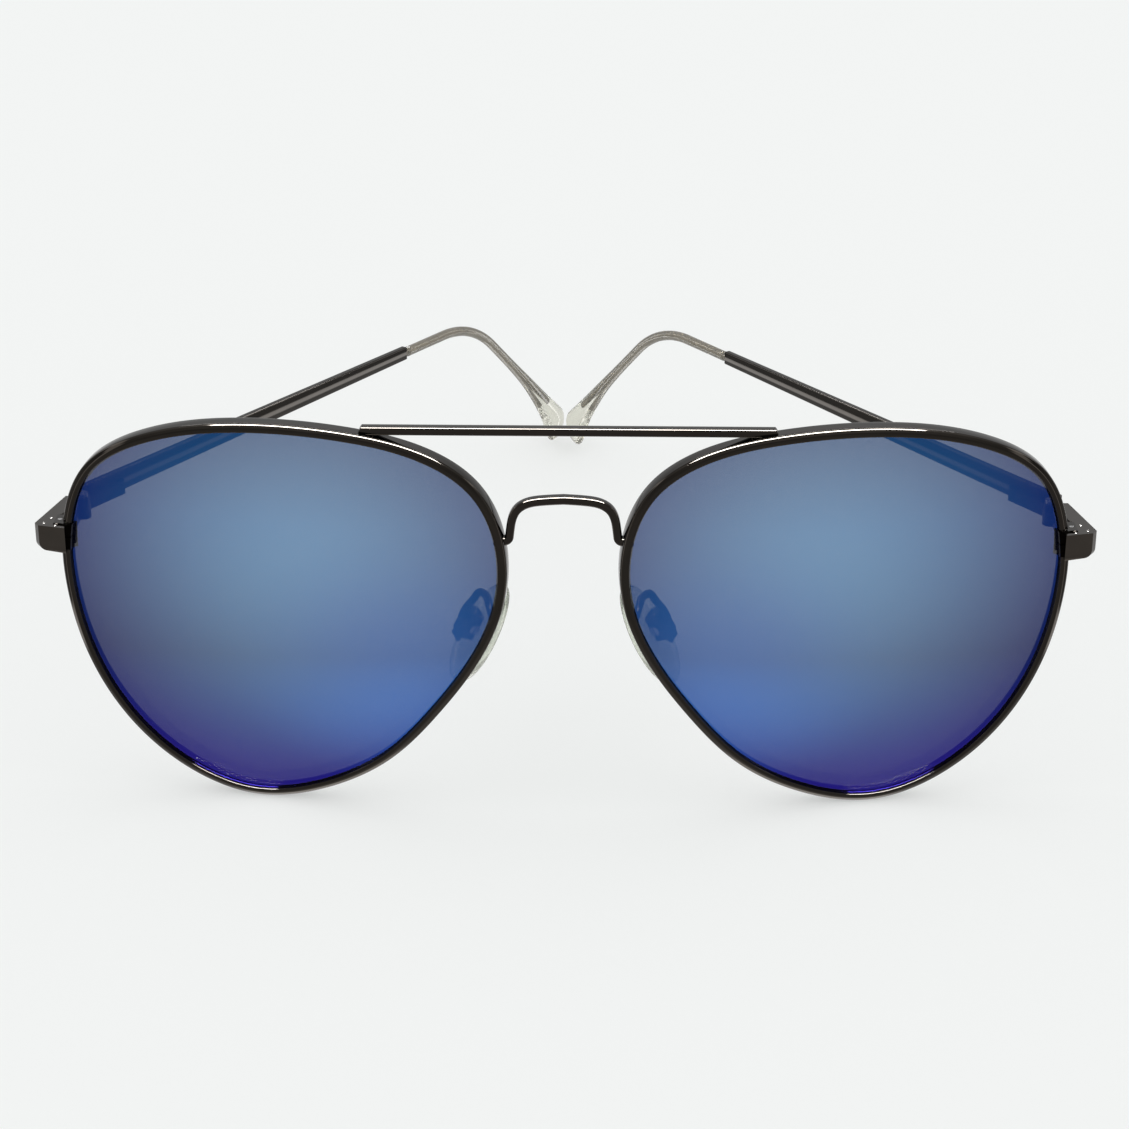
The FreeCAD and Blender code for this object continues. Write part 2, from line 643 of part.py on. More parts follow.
def make_all():
    """Every node in the temple frame, by name."""
    lens_place = lens_matrix()
    pad_place = pad_matrix()
    upper, lower = make_blocks()
    fixed = {
        "rim": make_rim(),
        "lens": placed(make_lens(), lens_place),
        "closing_block_upper": upper,
        "closing_block_lower": lower,
        "closing_screw": make_block_screw(),
        "end_piece": make_end_piece(),
        "front_hinge": folded(make_front_leaf(), 0.0),
        "hinge_screw": folded(make_hinge_screw(), 0.0),
        "pad_arm": make_pad_arm(),
        "pad_box": placed(make_pad_box(), pad_place),
        "pad_screw": placed(make_pad_screw(), pad_place),
        "nose_pad": placed(make_pad(), pad_place),
        "pad_insert": placed(make_pad_insert(), pad_place),
    }
    moving = {
        "temple_hinge": make_temple_leaf(),
        "temple_blade": make_blade(),
        "temple_core": make_core(),
        "temple_sleeve": make_sleeve(),
    }
    nodes = {"bridge": make_bridge(), "brow_bar": make_brow_bar()}
    for name, shape in fixed.items():
        nodes["left_" + name] = shape
        nodes["right_" + name] = mirrored(shape)
    for name, shape in moving.items():
        nodes["left_" + name] = folded(shape, LEFT_FOLD)
        nodes["right_" + name] = mirrored(folded(shape, RIGHT_FOLD))
    return nodes


def stand(nodes):
    """Tip everything so that the temples slope down to the table, centred on the origin."""
    for shape in nodes.values():
        shape.rotate(ORIGIN, X_AXIS, -STAND_TILT)
    whole = Part.makeCompound(list(nodes.values())).optimalBoundingBox(False, False)
    shift = V(-whole.Center.x, -whole.Center.y, -whole.ZMin)
    for shape in nodes.values():
        shape.translate(shift)
    return shift


def main():
    os.makedirs("parts", exist_ok=True)
    nodes = make_all()
    shift = stand(nodes)
    print("moved by", [round(value, 4) for value in shift])
    for name, shape in sorted(nodes.items()):
        if not shape.isValid() or len(shape.Solids) != 1:
            print(name, "valid", shape.isValid(), "solids", len(shape.Solids))
        shape.Solids[0].exportStep("parts/" + name + ".step")
    print(len(nodes), "nodes")


main()
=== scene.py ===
import json
import math

import bmesh
import bpy
import numpy as np
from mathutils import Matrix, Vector


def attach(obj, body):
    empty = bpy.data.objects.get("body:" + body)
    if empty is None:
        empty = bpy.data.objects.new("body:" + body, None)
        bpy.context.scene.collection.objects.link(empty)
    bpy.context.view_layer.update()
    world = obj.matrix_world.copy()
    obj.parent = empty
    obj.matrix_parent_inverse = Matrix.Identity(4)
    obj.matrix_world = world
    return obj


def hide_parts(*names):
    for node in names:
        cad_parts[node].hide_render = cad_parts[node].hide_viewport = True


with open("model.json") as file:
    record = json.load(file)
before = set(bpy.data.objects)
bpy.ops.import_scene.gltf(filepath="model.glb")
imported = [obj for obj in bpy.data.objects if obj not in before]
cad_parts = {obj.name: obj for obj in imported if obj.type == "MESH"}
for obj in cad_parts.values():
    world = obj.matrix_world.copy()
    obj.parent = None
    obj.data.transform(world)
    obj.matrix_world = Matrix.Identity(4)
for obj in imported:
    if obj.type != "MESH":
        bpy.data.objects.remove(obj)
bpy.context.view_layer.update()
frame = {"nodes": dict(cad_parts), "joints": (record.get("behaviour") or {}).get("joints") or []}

bl_info = {
    "name": "Aviator sunglasses",
    "version": (1, 0, 0),
    "blender": (4, 5, 0),
    "location": "View3D > Sidebar > Sunglasses",
    "description": "Wire-framed sunglasses with mirror lenses, built around their packed model",
    "category": "Object",
}

# Every shape below is worked out in millimetres in one of these frames:
# - the front frame: X to the wearer's left, Y back, Z along the hinge screws, origin midway
#   between the hinges; made for the wearer's left and mirrored for the right
# - the lens frame: X towards the temple, Y up, Z forwards, origin on the front of the lens
# - the hinge frame: X outboard, Y along the temple, Z up the screw
# - the pad frame: X across the pad, Y up its length, Z towards the nose
MM = 0.001
JOINTS = {joint["name"]: joint for joint in frame["joints"]}
SIDES = (("left", 1.0), ("right", -1.0))

SCREW_AXIS = np.array(JOINTS["left_temple_fold"]["axis"])
ACROSS = np.array([1.0, 0.0, 0.0])
BACKWARDS = np.cross(SCREW_AXIS, ACROSS)
FRONT_AXES = np.array([ACROSS, BACKWARDS, SCREW_AXIS])
LEFT_HINGE = np.array(JOINTS["left_temple_fold"]["pos_m"])
RIGHT_HINGE = np.array(JOINTS["right_temple_fold"]["pos_m"])
HINGE_OUT = (LEFT_HINGE[0] - RIGHT_HINGE[0]) / 2 / MM
HINGE_BACK = 8.6
FRONT_ORIGIN = (LEFT_HINGE + RIGHT_HINGE) / 2 - HINGE_BACK * MM * BACKWARDS

LENS_CENTRE = np.array([37.6, -8.3, -7.25])
FACE_FORM = math.radians(5.0)
LENS_LEAN = math.radians(2.0)
LENS_RADIUS = 110.0
LENS_THICK = 1.6
LENS_INSET = 0.65
RIM_KNOTS = [
    (29.7, 0.0), (29.5, 9.2), (26.2, 17.0), (18.3, 22.0), (5.0, 24.5), (-9.2, 23.7),
    (-18.4, 21.3), (-26.1, 16.0), (-29.8, 1.6), (-26.5, -8.0), (-20.6, -16.6), (-13.6, -24.2),
    (-4.4, -29.4), (5.6, -31.1), (15.3, -27.1), (22.8, -19.5), (27.4, -10.5),
]
RIM_LIP = 0.45
RIM_CROWN = 0.1  # swell of the rim's front
GROOVE_DEPTH = 0.6
GROOVE_PLAY = 0.03
LENS_BEVEL = 0.12
LENS_REACH = 28.0  # rough radius of a lens, for the share of it that the bevel takes
BLOCK_HALF = 1.8

PAD_CENTRE = np.array([11.7, 4.4, -16.5])
PAD_UP = np.array([-0.47, -0.03, 0.88])
PAD_FACE = np.array([-0.80, 0.45, -0.40])
PAD_THICK = 2.4
BOX_UP = 1.2
BOX_LONG = 4.0
BOX_OFF = 0.35
BOX_DEEP = 1.9
BOX_GAP = 0.02
BOX_BACK = PAD_THICK / 2 + BOX_OFF + BOX_DEEP + BOX_GAP
PAD_EGG = 0.10  # how much narrower the top is, and wider the bottom
PAD_SIDE_POWER = 0.5
PAD_FACE_POWER = 0.8
PAD_FRONT_SHARE = 0.85
PAD_CROWN = 0.125
PAD_WIRE_BEFORE = 0.2  # last bend above the top of the box, and the wire's end below it
PAD_WIRE_TOUCH = 1.3
PAD_WIRE = [
    (9.4, -4.3, -11.2), (9.7, -2.2, -10.9), (10.2, 0.2, -10.4), (10.8, 1.9, -9.8),
    (11.6, 2.6, -9.75), (12.3, 2.6, -10.6),
]

BRIDGE_Y = -5.8
BRIDGE_ARCH = [
    (0.0, 7.05), (3.0, 6.85), (5.05, 6.38), (6.15, 5.55), (6.65, 4.6), (6.97, 3.0), (7.1, 1.95),
]
BRIDGE_TURN = 0.7
BRIDGE_FOOT_END = 9.2
BRIDGE_ROUND = 0.3
BRIDGE_BEADS = ((8.15, 1.75), (8.5, 0.75))
BRIDGE_BEAD_FORWARD = 0.5
BRIDGE_BEAD_FACING = (0.2, -1.0, 0.3)
BRIDGE_BEAD_SIZE = (0.22, 0.22)  # radius and height

BAR_MIDDLE = 0.6
BAR_HALF = 27.2
BAR_SLANT = 0.5
BAR_Y = -5.85
BAR_Z = 16.5
BAR_ROUND = 0.22
BAR_CAP = 0.08  # softened end of the bar
BAR_CAP_ROUND = 0.15
BAR_FOOT = 25.0
BAR_FOOT_WIDE = 1.6
BAR_FOOT_DEEP = 1.0
BAR_FOOT_ROUND = 0.25
BAR_FOOT_LEVELS = (-1.35, -0.3)  # from the middle of the bar
BAR_BEAD = (1.1, -0.55, -0.75)  # from the foot's middle, in the middle of the bar
BAR_BEAD_FACING = (0.3, -1.0, 0.4)
BAR_BEAD_SIZE = (0.24, 0.2)

END_TOP = 1.6
END_BOTTOM = -2.0
END_ROUND = 1.1
END_ROUND_FROM = 68.0  # the plate's outer side is rounded underneath from here outboard
END_BEVEL = 0.32
END_PAINTED_LIGHT = 1.9  # painted light: its plating is made brighter than the rest, standing in for light its front reflects
END_DOTS = ((69.3, -1.7), (67.6, -2.55), (68.7, 0.2))
DOT_RADIUS = 0.24
DOT_HEIGHT = 0.12
DOT_SUNK = 0.02
END_PLAN = [
    (66.2, -3.6), (69.9, -2.6), (70.5, -1.7), (68.4, 8.5), (67.34, 8.5),
    (67.34, 2.2), (67.95, 1.2), (67.95, -2.35), (66.2, -2.35),
]

BLADE_MIDDLE = 1.7
BLADE_START = 0.4
BLADE_END = 79.0
BLADE_EDGE = 0.34  # rounding of its long edges, and the softening of its ends
BLADE_SOFT = 0.12
BLADE_CUTS = (1.0, 78.0, 40)  # first, last and number of the sections between its ends
BLADE_STEPS = 20  # points round a section
TEMPLE_RISE = 0.65
BEND_CORNER = 98.5
BEND_RADIUS = 22.0
BEND_ANGLE = math.radians(41.2)
CORE_LENGTH = 31.0
TIP_SECTIONS = [  # distance down the slope, tall, wide, drop
    (-8.3, 1.6, 1.5, 0.0), (8.0, 1.6, 1.5, 0.0), (18.0, 1.75, 1.55, 0.0), (24.0, 2.3, 1.7, 0.15),
    (29.5, 3.4, 1.8, 0.6), (34.0, 4.9, 1.9, 1.2), (37.0, 6.2, 1.9, 1.75), (39.4, 6.2, 1.7, 1.85),
]
TIP_END = 39.5
TIP_ROUND = 2.8  # length over which the tip's end rounds off
TIP_LEAD = 0.35  # length over which its start swells, from the share of the full size below
TIP_LEAD_SHARE = 0.72
TIP_LEAST = 0.02  # size of the last ring, as a share
TIP_START = 0.02  # start of the tip and of its core behind the blade
CORE_START = 0.3

# Rings along a piece and points round it
RIM_RINGS = 420
LENS_POINTS = 280
LENS_RINGS = (0.005, 0.97, 22)  # first and last share of the full size, and number
BRIDGE_RINGS = 60
FOOT_RINGS = 12
BAR_RINGS = 40
END_RINGS = 8
END_BEVEL_STEPS = 4
TIP_POINTS = 28
TIP_STEPS = 200
WIRE_RINGS = 90
WIRE_END = 0.98  # share of a quarter turn at the tip of a wire's round end
PAD_POINTS = 64
PAD_RINGS = 33
PAD_POLE = 0.02  # angle left open at either pole, before it is capped
PATH_STEP = 0.6
PATH_LEAST = 40
SEARCH_STEPS = 4001  # for the rim's ends at the closing block: points tried and their limits
SEARCH_FROM = 20.0
SEARCH_NEAR = 0.2
DOME_TURN = (-0.6, 0.97)  # shares of a quarter turn, from inside the face to the top
BEVEL_FROM = 30.0  # degrees between faces

# Cloudiness per metre, brightness of the darkest and lightest parts, smoothest and dullest
# roughness, and strength and height of the bumps
PLATING_CLOUDS = 260.0
PLATING_WEAR = 900.0
PLATING_PEEL = 700.0
PLATING_TONES = (0.85, 1.15)
PLATING_ROUGH = (0.03, 0.1)
PLATING_BUMP = (0.03, 0.01 * MM)
STEEL_MARKS = 1800.0
STEEL_TONES = (0.7, 1.2)
STEEL_ROUGH = (0.6, 1.4)  # shares of the steel's own roughness
STEEL_BUMP = (0.15, 0.03 * MM)
CORE_ROUGH = 0.3
SCREW_ROUGH = 0.18
SOLDER_ROUGH = 0.1
PLASTIC_CLOUDS = 300.0
PLASTIC_WEAR = 700.0
PLASTIC_SKIN = 400.0
PLASTIC_TONES = (0.94, 1.0)
PLASTIC_ROUGH = (0.02, 0.09)
PLASTIC_BUMP = (0.1, 0.03 * MM)
PLASTIC_BENDING = 1.46
TIP_MILKY = 0.12
PAD_MILKY = 0.1
PEG_MILKY = 0.2

# Lens patches, where painted reflection and shade lie on the lenses: middle in the lens frame,
# then reach across and up
MIDDLE_COAT_AND_LIGHT_PATCH = (-3.0, 6.0, 41.0, 36.0)
LOW_REFLECTION_PATCH = (-16.0, -8.5, 26.0, 21.0)
LOW_REFLECTION_SHARE = 0.85
UNSHADED_PATCH = (-5.0, 9.0, 50.0, 42.0)
MIRROR_ROUGH = 0.05
MIRROR_ALPHA = 0.6  # how solid the coat is, elsewhere and in the low patch of painted bright reflection
MIRROR_ALPHA_REFLECTION = 0.71
TINT_CLOUDS = 60.0
TINT_TONES = (0.9, 1.1)
TINT_ROUGH = 0.06
TINT_SHADED = 0.92  # how solid the tint is, at the edge where it paints shade and in the unshaded patch
TINT_UNSHADED = 0.52

# Camera, in the front frame: degrees round it and over its level, then metres; the aim is in
# millimetres
CAMERA_AZIMUTH = 0.93
CAMERA_ELEVATION = 22.27
CAMERA_DISTANCE = 0.34
CAMERA_AIM = (0.03, 0.0, -4.51)
CAMERA_LENS = 80.74
CAMERA_SENSOR = 36.0
CAMERA_NEAR = 0.01

# Light: levels seen in a shiny surface, from straight down (0) to straight up (1) in front and
# behind, and from the middle (0) to either side (1)
FRONT_LEVELS = (
    (0.0, 3.0), (0.02, 3.0), (0.035, 1.0), (0.12, 0.9), (0.24, 0.42), (0.42, 0.5),
    (0.55, 0.4), (0.68, 0.3), (0.8, 0.6), (1.0, 1.5),
)
BACK_LEVELS = (
    (0.0, 3.0), (0.02, 3.0), (0.035, 0.8), (0.3, 0.7), (0.5, 0.5), (0.62, 0.5),
    (0.72, 0.9), (0.8, 0.5), (0.9, 0.9), (1.0, 1.5),
)
SIDE_LEVELS = (
    (0.0, 1.0), (0.785, 1.0), (0.81, 5.0), (0.86, 5.0), (0.875, 0.6), (1.0, 1.2),
)
FRONT_WARMTH = 0.05
FRONT_TO_BACK = (-0.6, 0.7)  # where the front's levels begin and end turning into the back's
BACKDROP = (0.888, 0.905, 0.897)
WHITE = (1.0, 1.0, 1.0)
ROOM_LIGHT = 1.04
LIGHT_AIM = (0.0, 0.0, 0.03)
LIGHTS = (  # name, place, width and depth in metres, watts
    ("Overhead box", (0.0, -0.2, 0.42), 0.50, 0.18, 32.0),
    ("Back strip", (0.0, 0.5, 0.5), 0.7, 0.04, 2.0),
)
FLOOR_REACH = 4.0
FLOOR_GLOW = 0.5  # share of the floor's paleness that shadows can't dim


def length(name, description, millimetres):
    """A length that the panel shows."""
    return bpy.props.FloatProperty(
        name=name, description=description, default=millimetres * MM, unit="LENGTH", precision=5
    )


def colour(name, description, default):
    """A colour that the panel shows."""
    return bpy.props.FloatVectorProperty(
        name=name, description=description, default=default, subtype="COLOR", min=0.0, max=1.0
    )


class GlassesSizes(bpy.types.PropertyGroup):
    """Sizes of the sunglasses"""

    rim_width: length("Rim width", "Rim seen from the front", 1.2)
    rim_edge: length("Rim edge", "Rounding of the rim's outer edges", 0.3)
    bar_tall: length("Brow bar height", "Height of the brow bar", 1.1)
    bar_deep: length("Brow bar depth", "Front to back of the brow bar", 1.5)
    bridge_tall: length("Bridge thickness", "Thickness of the bridge strip", 1.15)
    bridge_deep: length("Bridge depth", "Front to back of the bridge strip", 1.45)
    blade_thick: length("Temple thickness", "Side to side of a temple", 1.2)
    blade_tall: length("Temple height", "Height of a temple at its hinge", 3.2)
    blade_tall_end: length("Temple end height", "Height of a temple where its tip begins", 2.15)
    core_radius: length("Core radius", "Radius of the wire inside a tip", 0.48)
    wire_radius: length("Pad wire radius", "Radius of the wire that carries a nose pad", 0.55)
    pad_long: length("Pad length", "Length of a nose pad", 16.0)
    pad_wide: length("Pad width", "Width of a nose pad", 8.0)


class GlassesColours(bpy.types.PropertyGroup):
    """Colours of the sunglasses and the floor"""

    metal: colour("Gunmetal", "Plated frame", (0.038, 0.0345, 0.031))
    # middle and edge colours are partly the coat's own gradient and partly painted light: a
    # lighter middle and a shaded edge
    mirror_middle_coat_and_light: colour("Mirror, middle", "Coat in the middle of a lens, with painted light", (0.013, 0.38, 0.95))
    mirror_edge_coat_and_shade: colour("Mirror, edge", "Mirror coat towards the rim, with painted shade", (0.02, 0.012, 0.33))
    # the low colour is a painted bright blue reflection, not the coat's own colour
    mirror_low_reflection: colour("Mirror, painted low reflection", "Painted reflection low on the nose side", (0.08, 0.30, 1.0))
    tint: colour("Lens tint", "Back of the lens", (0.020, 0.017, 0.015))
    clear: colour("Clear plastic", "Temple tips", (0.84, 0.83, 0.75))
    pad: colour("Pad plastic", "Nose pads and their pegs", (0.76, 0.79, 0.70))
    steel: colour("Core wire", "Steel inside the tips", (0.20, 0.17, 0.13))
    solder: colour("Solder", "Dots on the end plates", (0.3, 0.29, 0.28))
    screws: colour("Screws", "Steel of the screws", (0.42, 0.42, 0.42))
    floor: colour("Floor", "Pale floor", (0.86, 0.875, 0.868))


def sizes():
    """The scene's sizes, in metres."""
    return bpy.context.scene.glasses_sizes


def colours():
    """The scene's colours."""
    return bpy.context.scene.glasses_colours


# Placing points


def front_place(points, side):
    """Front frame to metres: origin plus the sum of each coordinate times its axis."""
    return FRONT_ORIGIN + MM * (points * np.array([side, 1.0, 1.0])) @ FRONT_AXES


def lens_place(points, side):
    """Lens frame to metres: turned by the face form about Z, then leaned back about X."""
    form, lean = FACE_FORM, LENS_LEAN
    outwards = np.array([math.cos(form), math.sin(form), 0.0])
    forwards = np.array(
        [math.sin(form) * math.cos(lean), -math.cos(form) * math.cos(lean), -math.sin(lean)]
    )
    axes = np.array([outwards, np.cross(forwards, outwards), forwards])
    return front_place(LENS_CENTRE + points @ axes, side)


def temple_place(points, side):
    """Hinge frame to metres: turned inwards by the temple's fold, then set on the hinge."""
    name = "left_temple_fold" if side > 0 else "right_temple_fold"
    fold = -math.radians(JOINTS[name]["range_deg"][0])
    x, y, z = points[..., 0], points[..., 1], points[..., 2]
    turned = np.stack(
        [
            HINGE_OUT + x * math.cos(fold) - y * math.sin(fold),
            HINGE_BACK + x * math.sin(fold) + y * math.cos(fold),
            z,
        ],
        axis=-1,
    )
    return front_place(turned, side)


def pad_point(points):
    """Pad frame to front frame."""
    face = PAD_FACE / np.linalg.norm(PAD_FACE)
    up = PAD_UP - face * (PAD_UP @ face)
    up = up / np.linalg.norm(up)
    return PAD_CENTRE + points @ np.array([np.cross(up, face), up, face])


# Curves and profiles


def unit(vectors):
    """Vectors divided by their lengths."""
    return vectors / np.linalg.norm(vectors, axis=-1, keepdims=True)


def spline(knots, share, closed=False):
    """Cubic spline through the knots, with chord lengths as its parameter.

    The second derivatives m solve h0 m0 + 2 (h0 + h1) m1 + h1 m2 = 6 (slope1 - slope0) at every
    knot, and are zero at the ends of an open curve. Share runs from 0 to 1. Returns the points
    and the unit tangents there.
    """
    p = np.array(knots, float)
    if closed:
        p = np.vstack([p, p[:1]])
    h = np.linalg.norm(np.diff(p, axis=0), axis=1)
    slope = np.diff(p, axis=0) / h[:, None]
    n = len(h)
    if closed:
        before = np.roll(h, 1)
        matrix = np.diag(2 * (before + h))
        matrix += np.diag(h[:-1], 1) + np.diag(before[1:], -1)
        matrix[0, -1] += before[0]
        matrix[-1, 0] += h[-1]
        m = np.linalg.solve(matrix, 6 * (slope - np.roll(slope, 1, axis=0)))
        m = np.vstack([m, m[:1]])
    else:
        matrix = np.diag(2 * (h[:-1] + h[1:])) + np.diag(h[1:-1], 1) + np.diag(h[1:-1], -1)
        inner = np.linalg.solve(matrix, 6 * np.diff(slope, axis=0))
        m = np.vstack([np.zeros(p.shape[1]), inner, np.zeros(p.shape[1])])
    start = np.concatenate([[0.0], np.cumsum(h)])
    at = np.asarray(share) * start[-1]
    i = np.clip(np.searchsorted(start, at, side="right") - 1, 0, n - 1)
    span = h[i][:, None]
    b = (at - start[i])[:, None] / span
    a = 1 - b
    points = a * p[i] + b * p[i + 1]
    points += ((a**3 - a) * m[i] + (b**3 - b) * m[i + 1]) * span**2 / 6
    tangents = (p[i + 1] - p[i]) / span
    tangents += ((1 - 3 * a**2) * m[i] + (3 * b**2 - 1) * m[i + 1]) * span / 6
    return points, unit(tangents)


def rounded_rectangle(wide, tall, radius, steps=4):
    """Closed profile: four quarter circles of the radius, centred inside the corners."""
    turn = np.linspace(0.0, math.pi / 2, steps + 1)
    corners = []
    for quarter, (sx, sy) in enumerate(((1, 1), (-1, 1), (-1, -1), (1, -1))):
        angle = turn + quarter * math.pi / 2
        x = sx * (wide / 2 - radius) + radius * np.cos(angle)
        y = sy * (tall / 2 - radius) + radius * np.sin(angle)
        corners.append(np.stack([x, y], axis=1))
    return np.vstack(corners)


def circle(steps):
    """Circle of radius 1: cos and sin of evenly spaced angles."""
    turn = np.linspace(0.0, 2 * math.pi, steps, endpoint=False)
    return np.stack([np.cos(turn), np.sin(turn)], axis=1)


def carried(path, across, up, profile):
    """Profile carried along a path: path + x times across + y times up, at every step."""
    return (
        path[:, None, :]
        + profile[..., 0, None] * across[:, None, :]
        + profile[..., 1, None] * up[:, None, :]
    )


def domed_wire(path, tangents, axis, radius, steps=20, dome=5):
    """Round wire about a path that keeps square to one axis, with a half sphere at each end.

    Ring centres run past the ends by radius times sin, with a radius of radius times cos.
    """
    turn = np.linspace(math.pi / 2 * WIRE_END, 0.0, dome, endpoint=False)
    first = path[0] - tangents[0] * (radius * np.sin(turn))[:, None]
    last = path[-1] + tangents[-1] * (radius * np.sin(turn[::-1]))[:, None]
    centres = np.vstack([first, path, last])
    along = np.vstack([
        np.repeat(tangents[:1], dome, axis=0), tangents, np.repeat(tangents[-1:], dome, axis=0),
    ])
    reach = np.concatenate([
        radius * np.cos(turn), np.full(len(path), radius), radius * np.cos(turn[::-1]),
    ])
    across = unit(np.cross(along, axis))
    up = np.cross(across, along)
    return carried(centres, across, up, circle(steps)[None] * reach[:, None, None])


# Meshes


def ring_faces(rings, points, closed):
    """Four-sided faces between neighbouring rings, and a cap on each end of an open row."""
    index = np.arange(rings * points).reshape(rings, points)
    after = np.roll(index, -1, axis=1)
    if closed:
        here, there = index, np.roll(index, -1, axis=0)
        here_after, there_after = after, np.roll(after, -1, axis=0)
    else:
        here, there, here_after, there_after = index[:-1], index[1:], after[:-1], after[1:]
    quads = np.stack([here, here_after, there_after, there], axis=-1).reshape(-1, 4).tolist()
    if not closed:
        quads.append(index[0, ::-1].tolist())
        quads.append(index[-1].tolist())
    return quads


def make_piece(name, grids, sharp=35.0, closed=False):
    """One mesh object from one or more grids of rings, each ring a closed row of points."""
    verts, faces, offset = [], [], 0
    for grid in grids:
        rings, points = grid.shape[:2]
        for face in ring_faces(rings, points, closed):
            faces.append([corner + offset for corner in face])
        verts.append(grid.reshape(-1, 3))
        offset += rings * points
    mesh = bpy.data.meshes.new(name)
    mesh.from_pydata(np.vstack(verts).tolist(), [], faces)
    work = bmesh.new()
    work.from_mesh(mesh)
    bmesh.ops.recalc_face_normals(work, faces=work.faces)
    work.to_mesh(mesh)
    work.free()
    mesh.polygons.foreach_set("use_smooth", np.ones(len(mesh.polygons), bool))
    mesh.set_sharp_from_angle(angle=math.radians(sharp))
    piece = bpy.data.objects.new(name, mesh)
    bpy.context.scene.collection.objects.link(piece)
    return piece


def bevelled(piece, width, segments):
    """Round the piece's sharp edges."""
    modifier = piece.modifiers.new("Edges", "BEVEL")
    modifier.width = width
    modifier.segments = segments
    modifier.limit_method = "ANGLE"
    modifier.angle_limit = math.radians(BEVEL_FROM)
    modifier.harden_normals = False


def fit(piece, body, nodes, slot, *materials):
    """Give the piece its finish, its body and the nodes that it stands for."""
    for material in materials:
        piece.data.materials.append(material)
    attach(piece, body)
    if nodes:
        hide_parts(*nodes)


def dome(centre, normal, radius, height, steps=16, rows=5):
    """Low round bead on a face: rings of radius times cos, lifted by height times sin."""
    normal = unit(np.array(normal, float))
    helper = np.array([0.0, 1.0, 0.0]) if abs(normal[1]) < 0.8 else np.array([1.0, 0.0, 0.0])
    across = unit(np.cross(normal, helper))
    up = np.cross(across, normal)
    turn = np.linspace(*DOME_TURN, rows + 2) * math.pi / 2
    centres = np.array(centre) + normal * (height * np.sin(turn))[:, None]
    profile = circle(steps)[None] * (radius * np.cos(turn))[:, None, None]
    return carried(
        centres, np.repeat(across[None], len(turn), 0), np.repeat(up[None], len(turn), 0), profile
    )


# Materials


def new_material(name):
    """A new material and its nodes, or the one of this name and None."""
    material = bpy.data.materials.get(name)
    if material:
        return material, None
    material = bpy.data.materials.new(name)
    material.use_nodes = True
    return material, material.node_tree


def feed(tree, node, inputs):
    """Give each input its value, or link it to the socket that feeds it."""
    for name, value in inputs.items():
        if isinstance(value, bpy.types.NodeSocket):
            tree.links.new(value, node.inputs[name])
        else:
            node.inputs[name].default_value = value


def new_node(tree, kind, inputs, **settings):
    """Outputs of a new node with these settings and inputs."""
    node = tree.nodes.new("ShaderNode" + kind)
    for name, value in settings.items():
        setattr(node, name, value)
    feed(tree, node, inputs)
    return node.outputs


def principled(tree, inputs):
    """Feed the material's own surface."""
    feed(tree, tree.nodes["Principled BSDF"], inputs)


def solid(shade, level=1.0):
    """Opaque colour at a share of its brightness."""
    return (*(np.array(shade) * level), 1.0)


def mixed(tree, share, first, second, **settings):
    """Two colours mixed: the first where the share is 0, the second where it is 1."""
    inputs = {"Factor": share, "A": first, "B": second}
    return new_node(tree, "Mix", inputs, data_type="RGBA", **settings)["Result"]


def between(tree, value, low, high):
    """The value from 0 to 1 spread from low to high."""
    inputs = {"Value": value, "To Min": low, "To Max": high}
    return new_node(tree, "MapRange", inputs)["Result"]


def place_noise(tree, scale, detail=4.0):
    """Noise on the piece's own coordinates, in metres."""
    where = new_node(tree, "TexCoord", {})["Object"]
    inputs = {"Vector": where, "Scale": scale, "Detail": detail, "Roughness": 0.6}
    return new_node(tree, "TexNoise", inputs)["Fac"]


def toned(tree, value, shade, tones):
    """Colour whose brightness goes from the first tone to the second with the value."""
    return mixed(tree, value, solid(shade, tones[0]), solid(shade, tones[1]))


def bump(tree, value, strength, distance):
    """Surface raised by the value."""
    inputs = {"Height": value, "Strength": strength, "Distance": distance}
    return new_node(tree, "Bump", inputs)["Normal"]


def gunmetal(name="gunmetal plating", painted_light=1.0):
    """Dark polished plating with a faint orange peel and cloudy handling marks."""
    material, tree = new_material(name)
    if tree is None:
        return material
    # painted_light brightens a copy of the plating where light is painted in; 1 leaves it as it
    # is
    metal = np.array(colours().metal) * painted_light
    principled(tree, {
        "Metallic": 1.0,
        "Base Color": toned(tree, place_noise(tree, PLATING_CLOUDS), metal, PLATING_TONES),
        "Roughness": between(tree, place_noise(tree, PLATING_WEAR), *PLATING_ROUGH),
        "Normal": bump(tree, place_noise(tree, PLATING_PEEL, 2.0), *PLATING_BUMP),
    })
    return material


def bright_steel(name, shade, rough):
    """Turned or drawn steel, with fine marks."""
    material, tree = new_material(name)
    if tree is None:
        return material
    marks = place_noise(tree, STEEL_MARKS)
    low, high = STEEL_ROUGH
    principled(tree, {
        "Metallic": 1.0,
        "Base Color": toned(tree, marks, shade, STEEL_TONES),
        "Roughness": between(tree, marks, rough * low, rough * high),
        "Normal": bump(tree, marks, *STEEL_BUMP),
    })
    return material


def clear_plastic(name, shade, milky):
    """Clear moulded plastic, slightly milky, with a soft skin."""
    material, tree = new_material(name)
    if tree is None:
        return material
    principled(tree, {
        "Transmission Weight": 1.0 - milky,
        "IOR": PLASTIC_BENDING,
        "Base Color": toned(tree, place_noise(tree, PLASTIC_CLOUDS), shade, PLASTIC_TONES),
        "Roughness": between(tree, place_noise(tree, PLASTIC_WEAR), *PLASTIC_ROUGH),
        "Normal": bump(tree, place_noise(tree, PLASTIC_SKIN, 2.0), *PLASTIC_BUMP),
    })
    return material


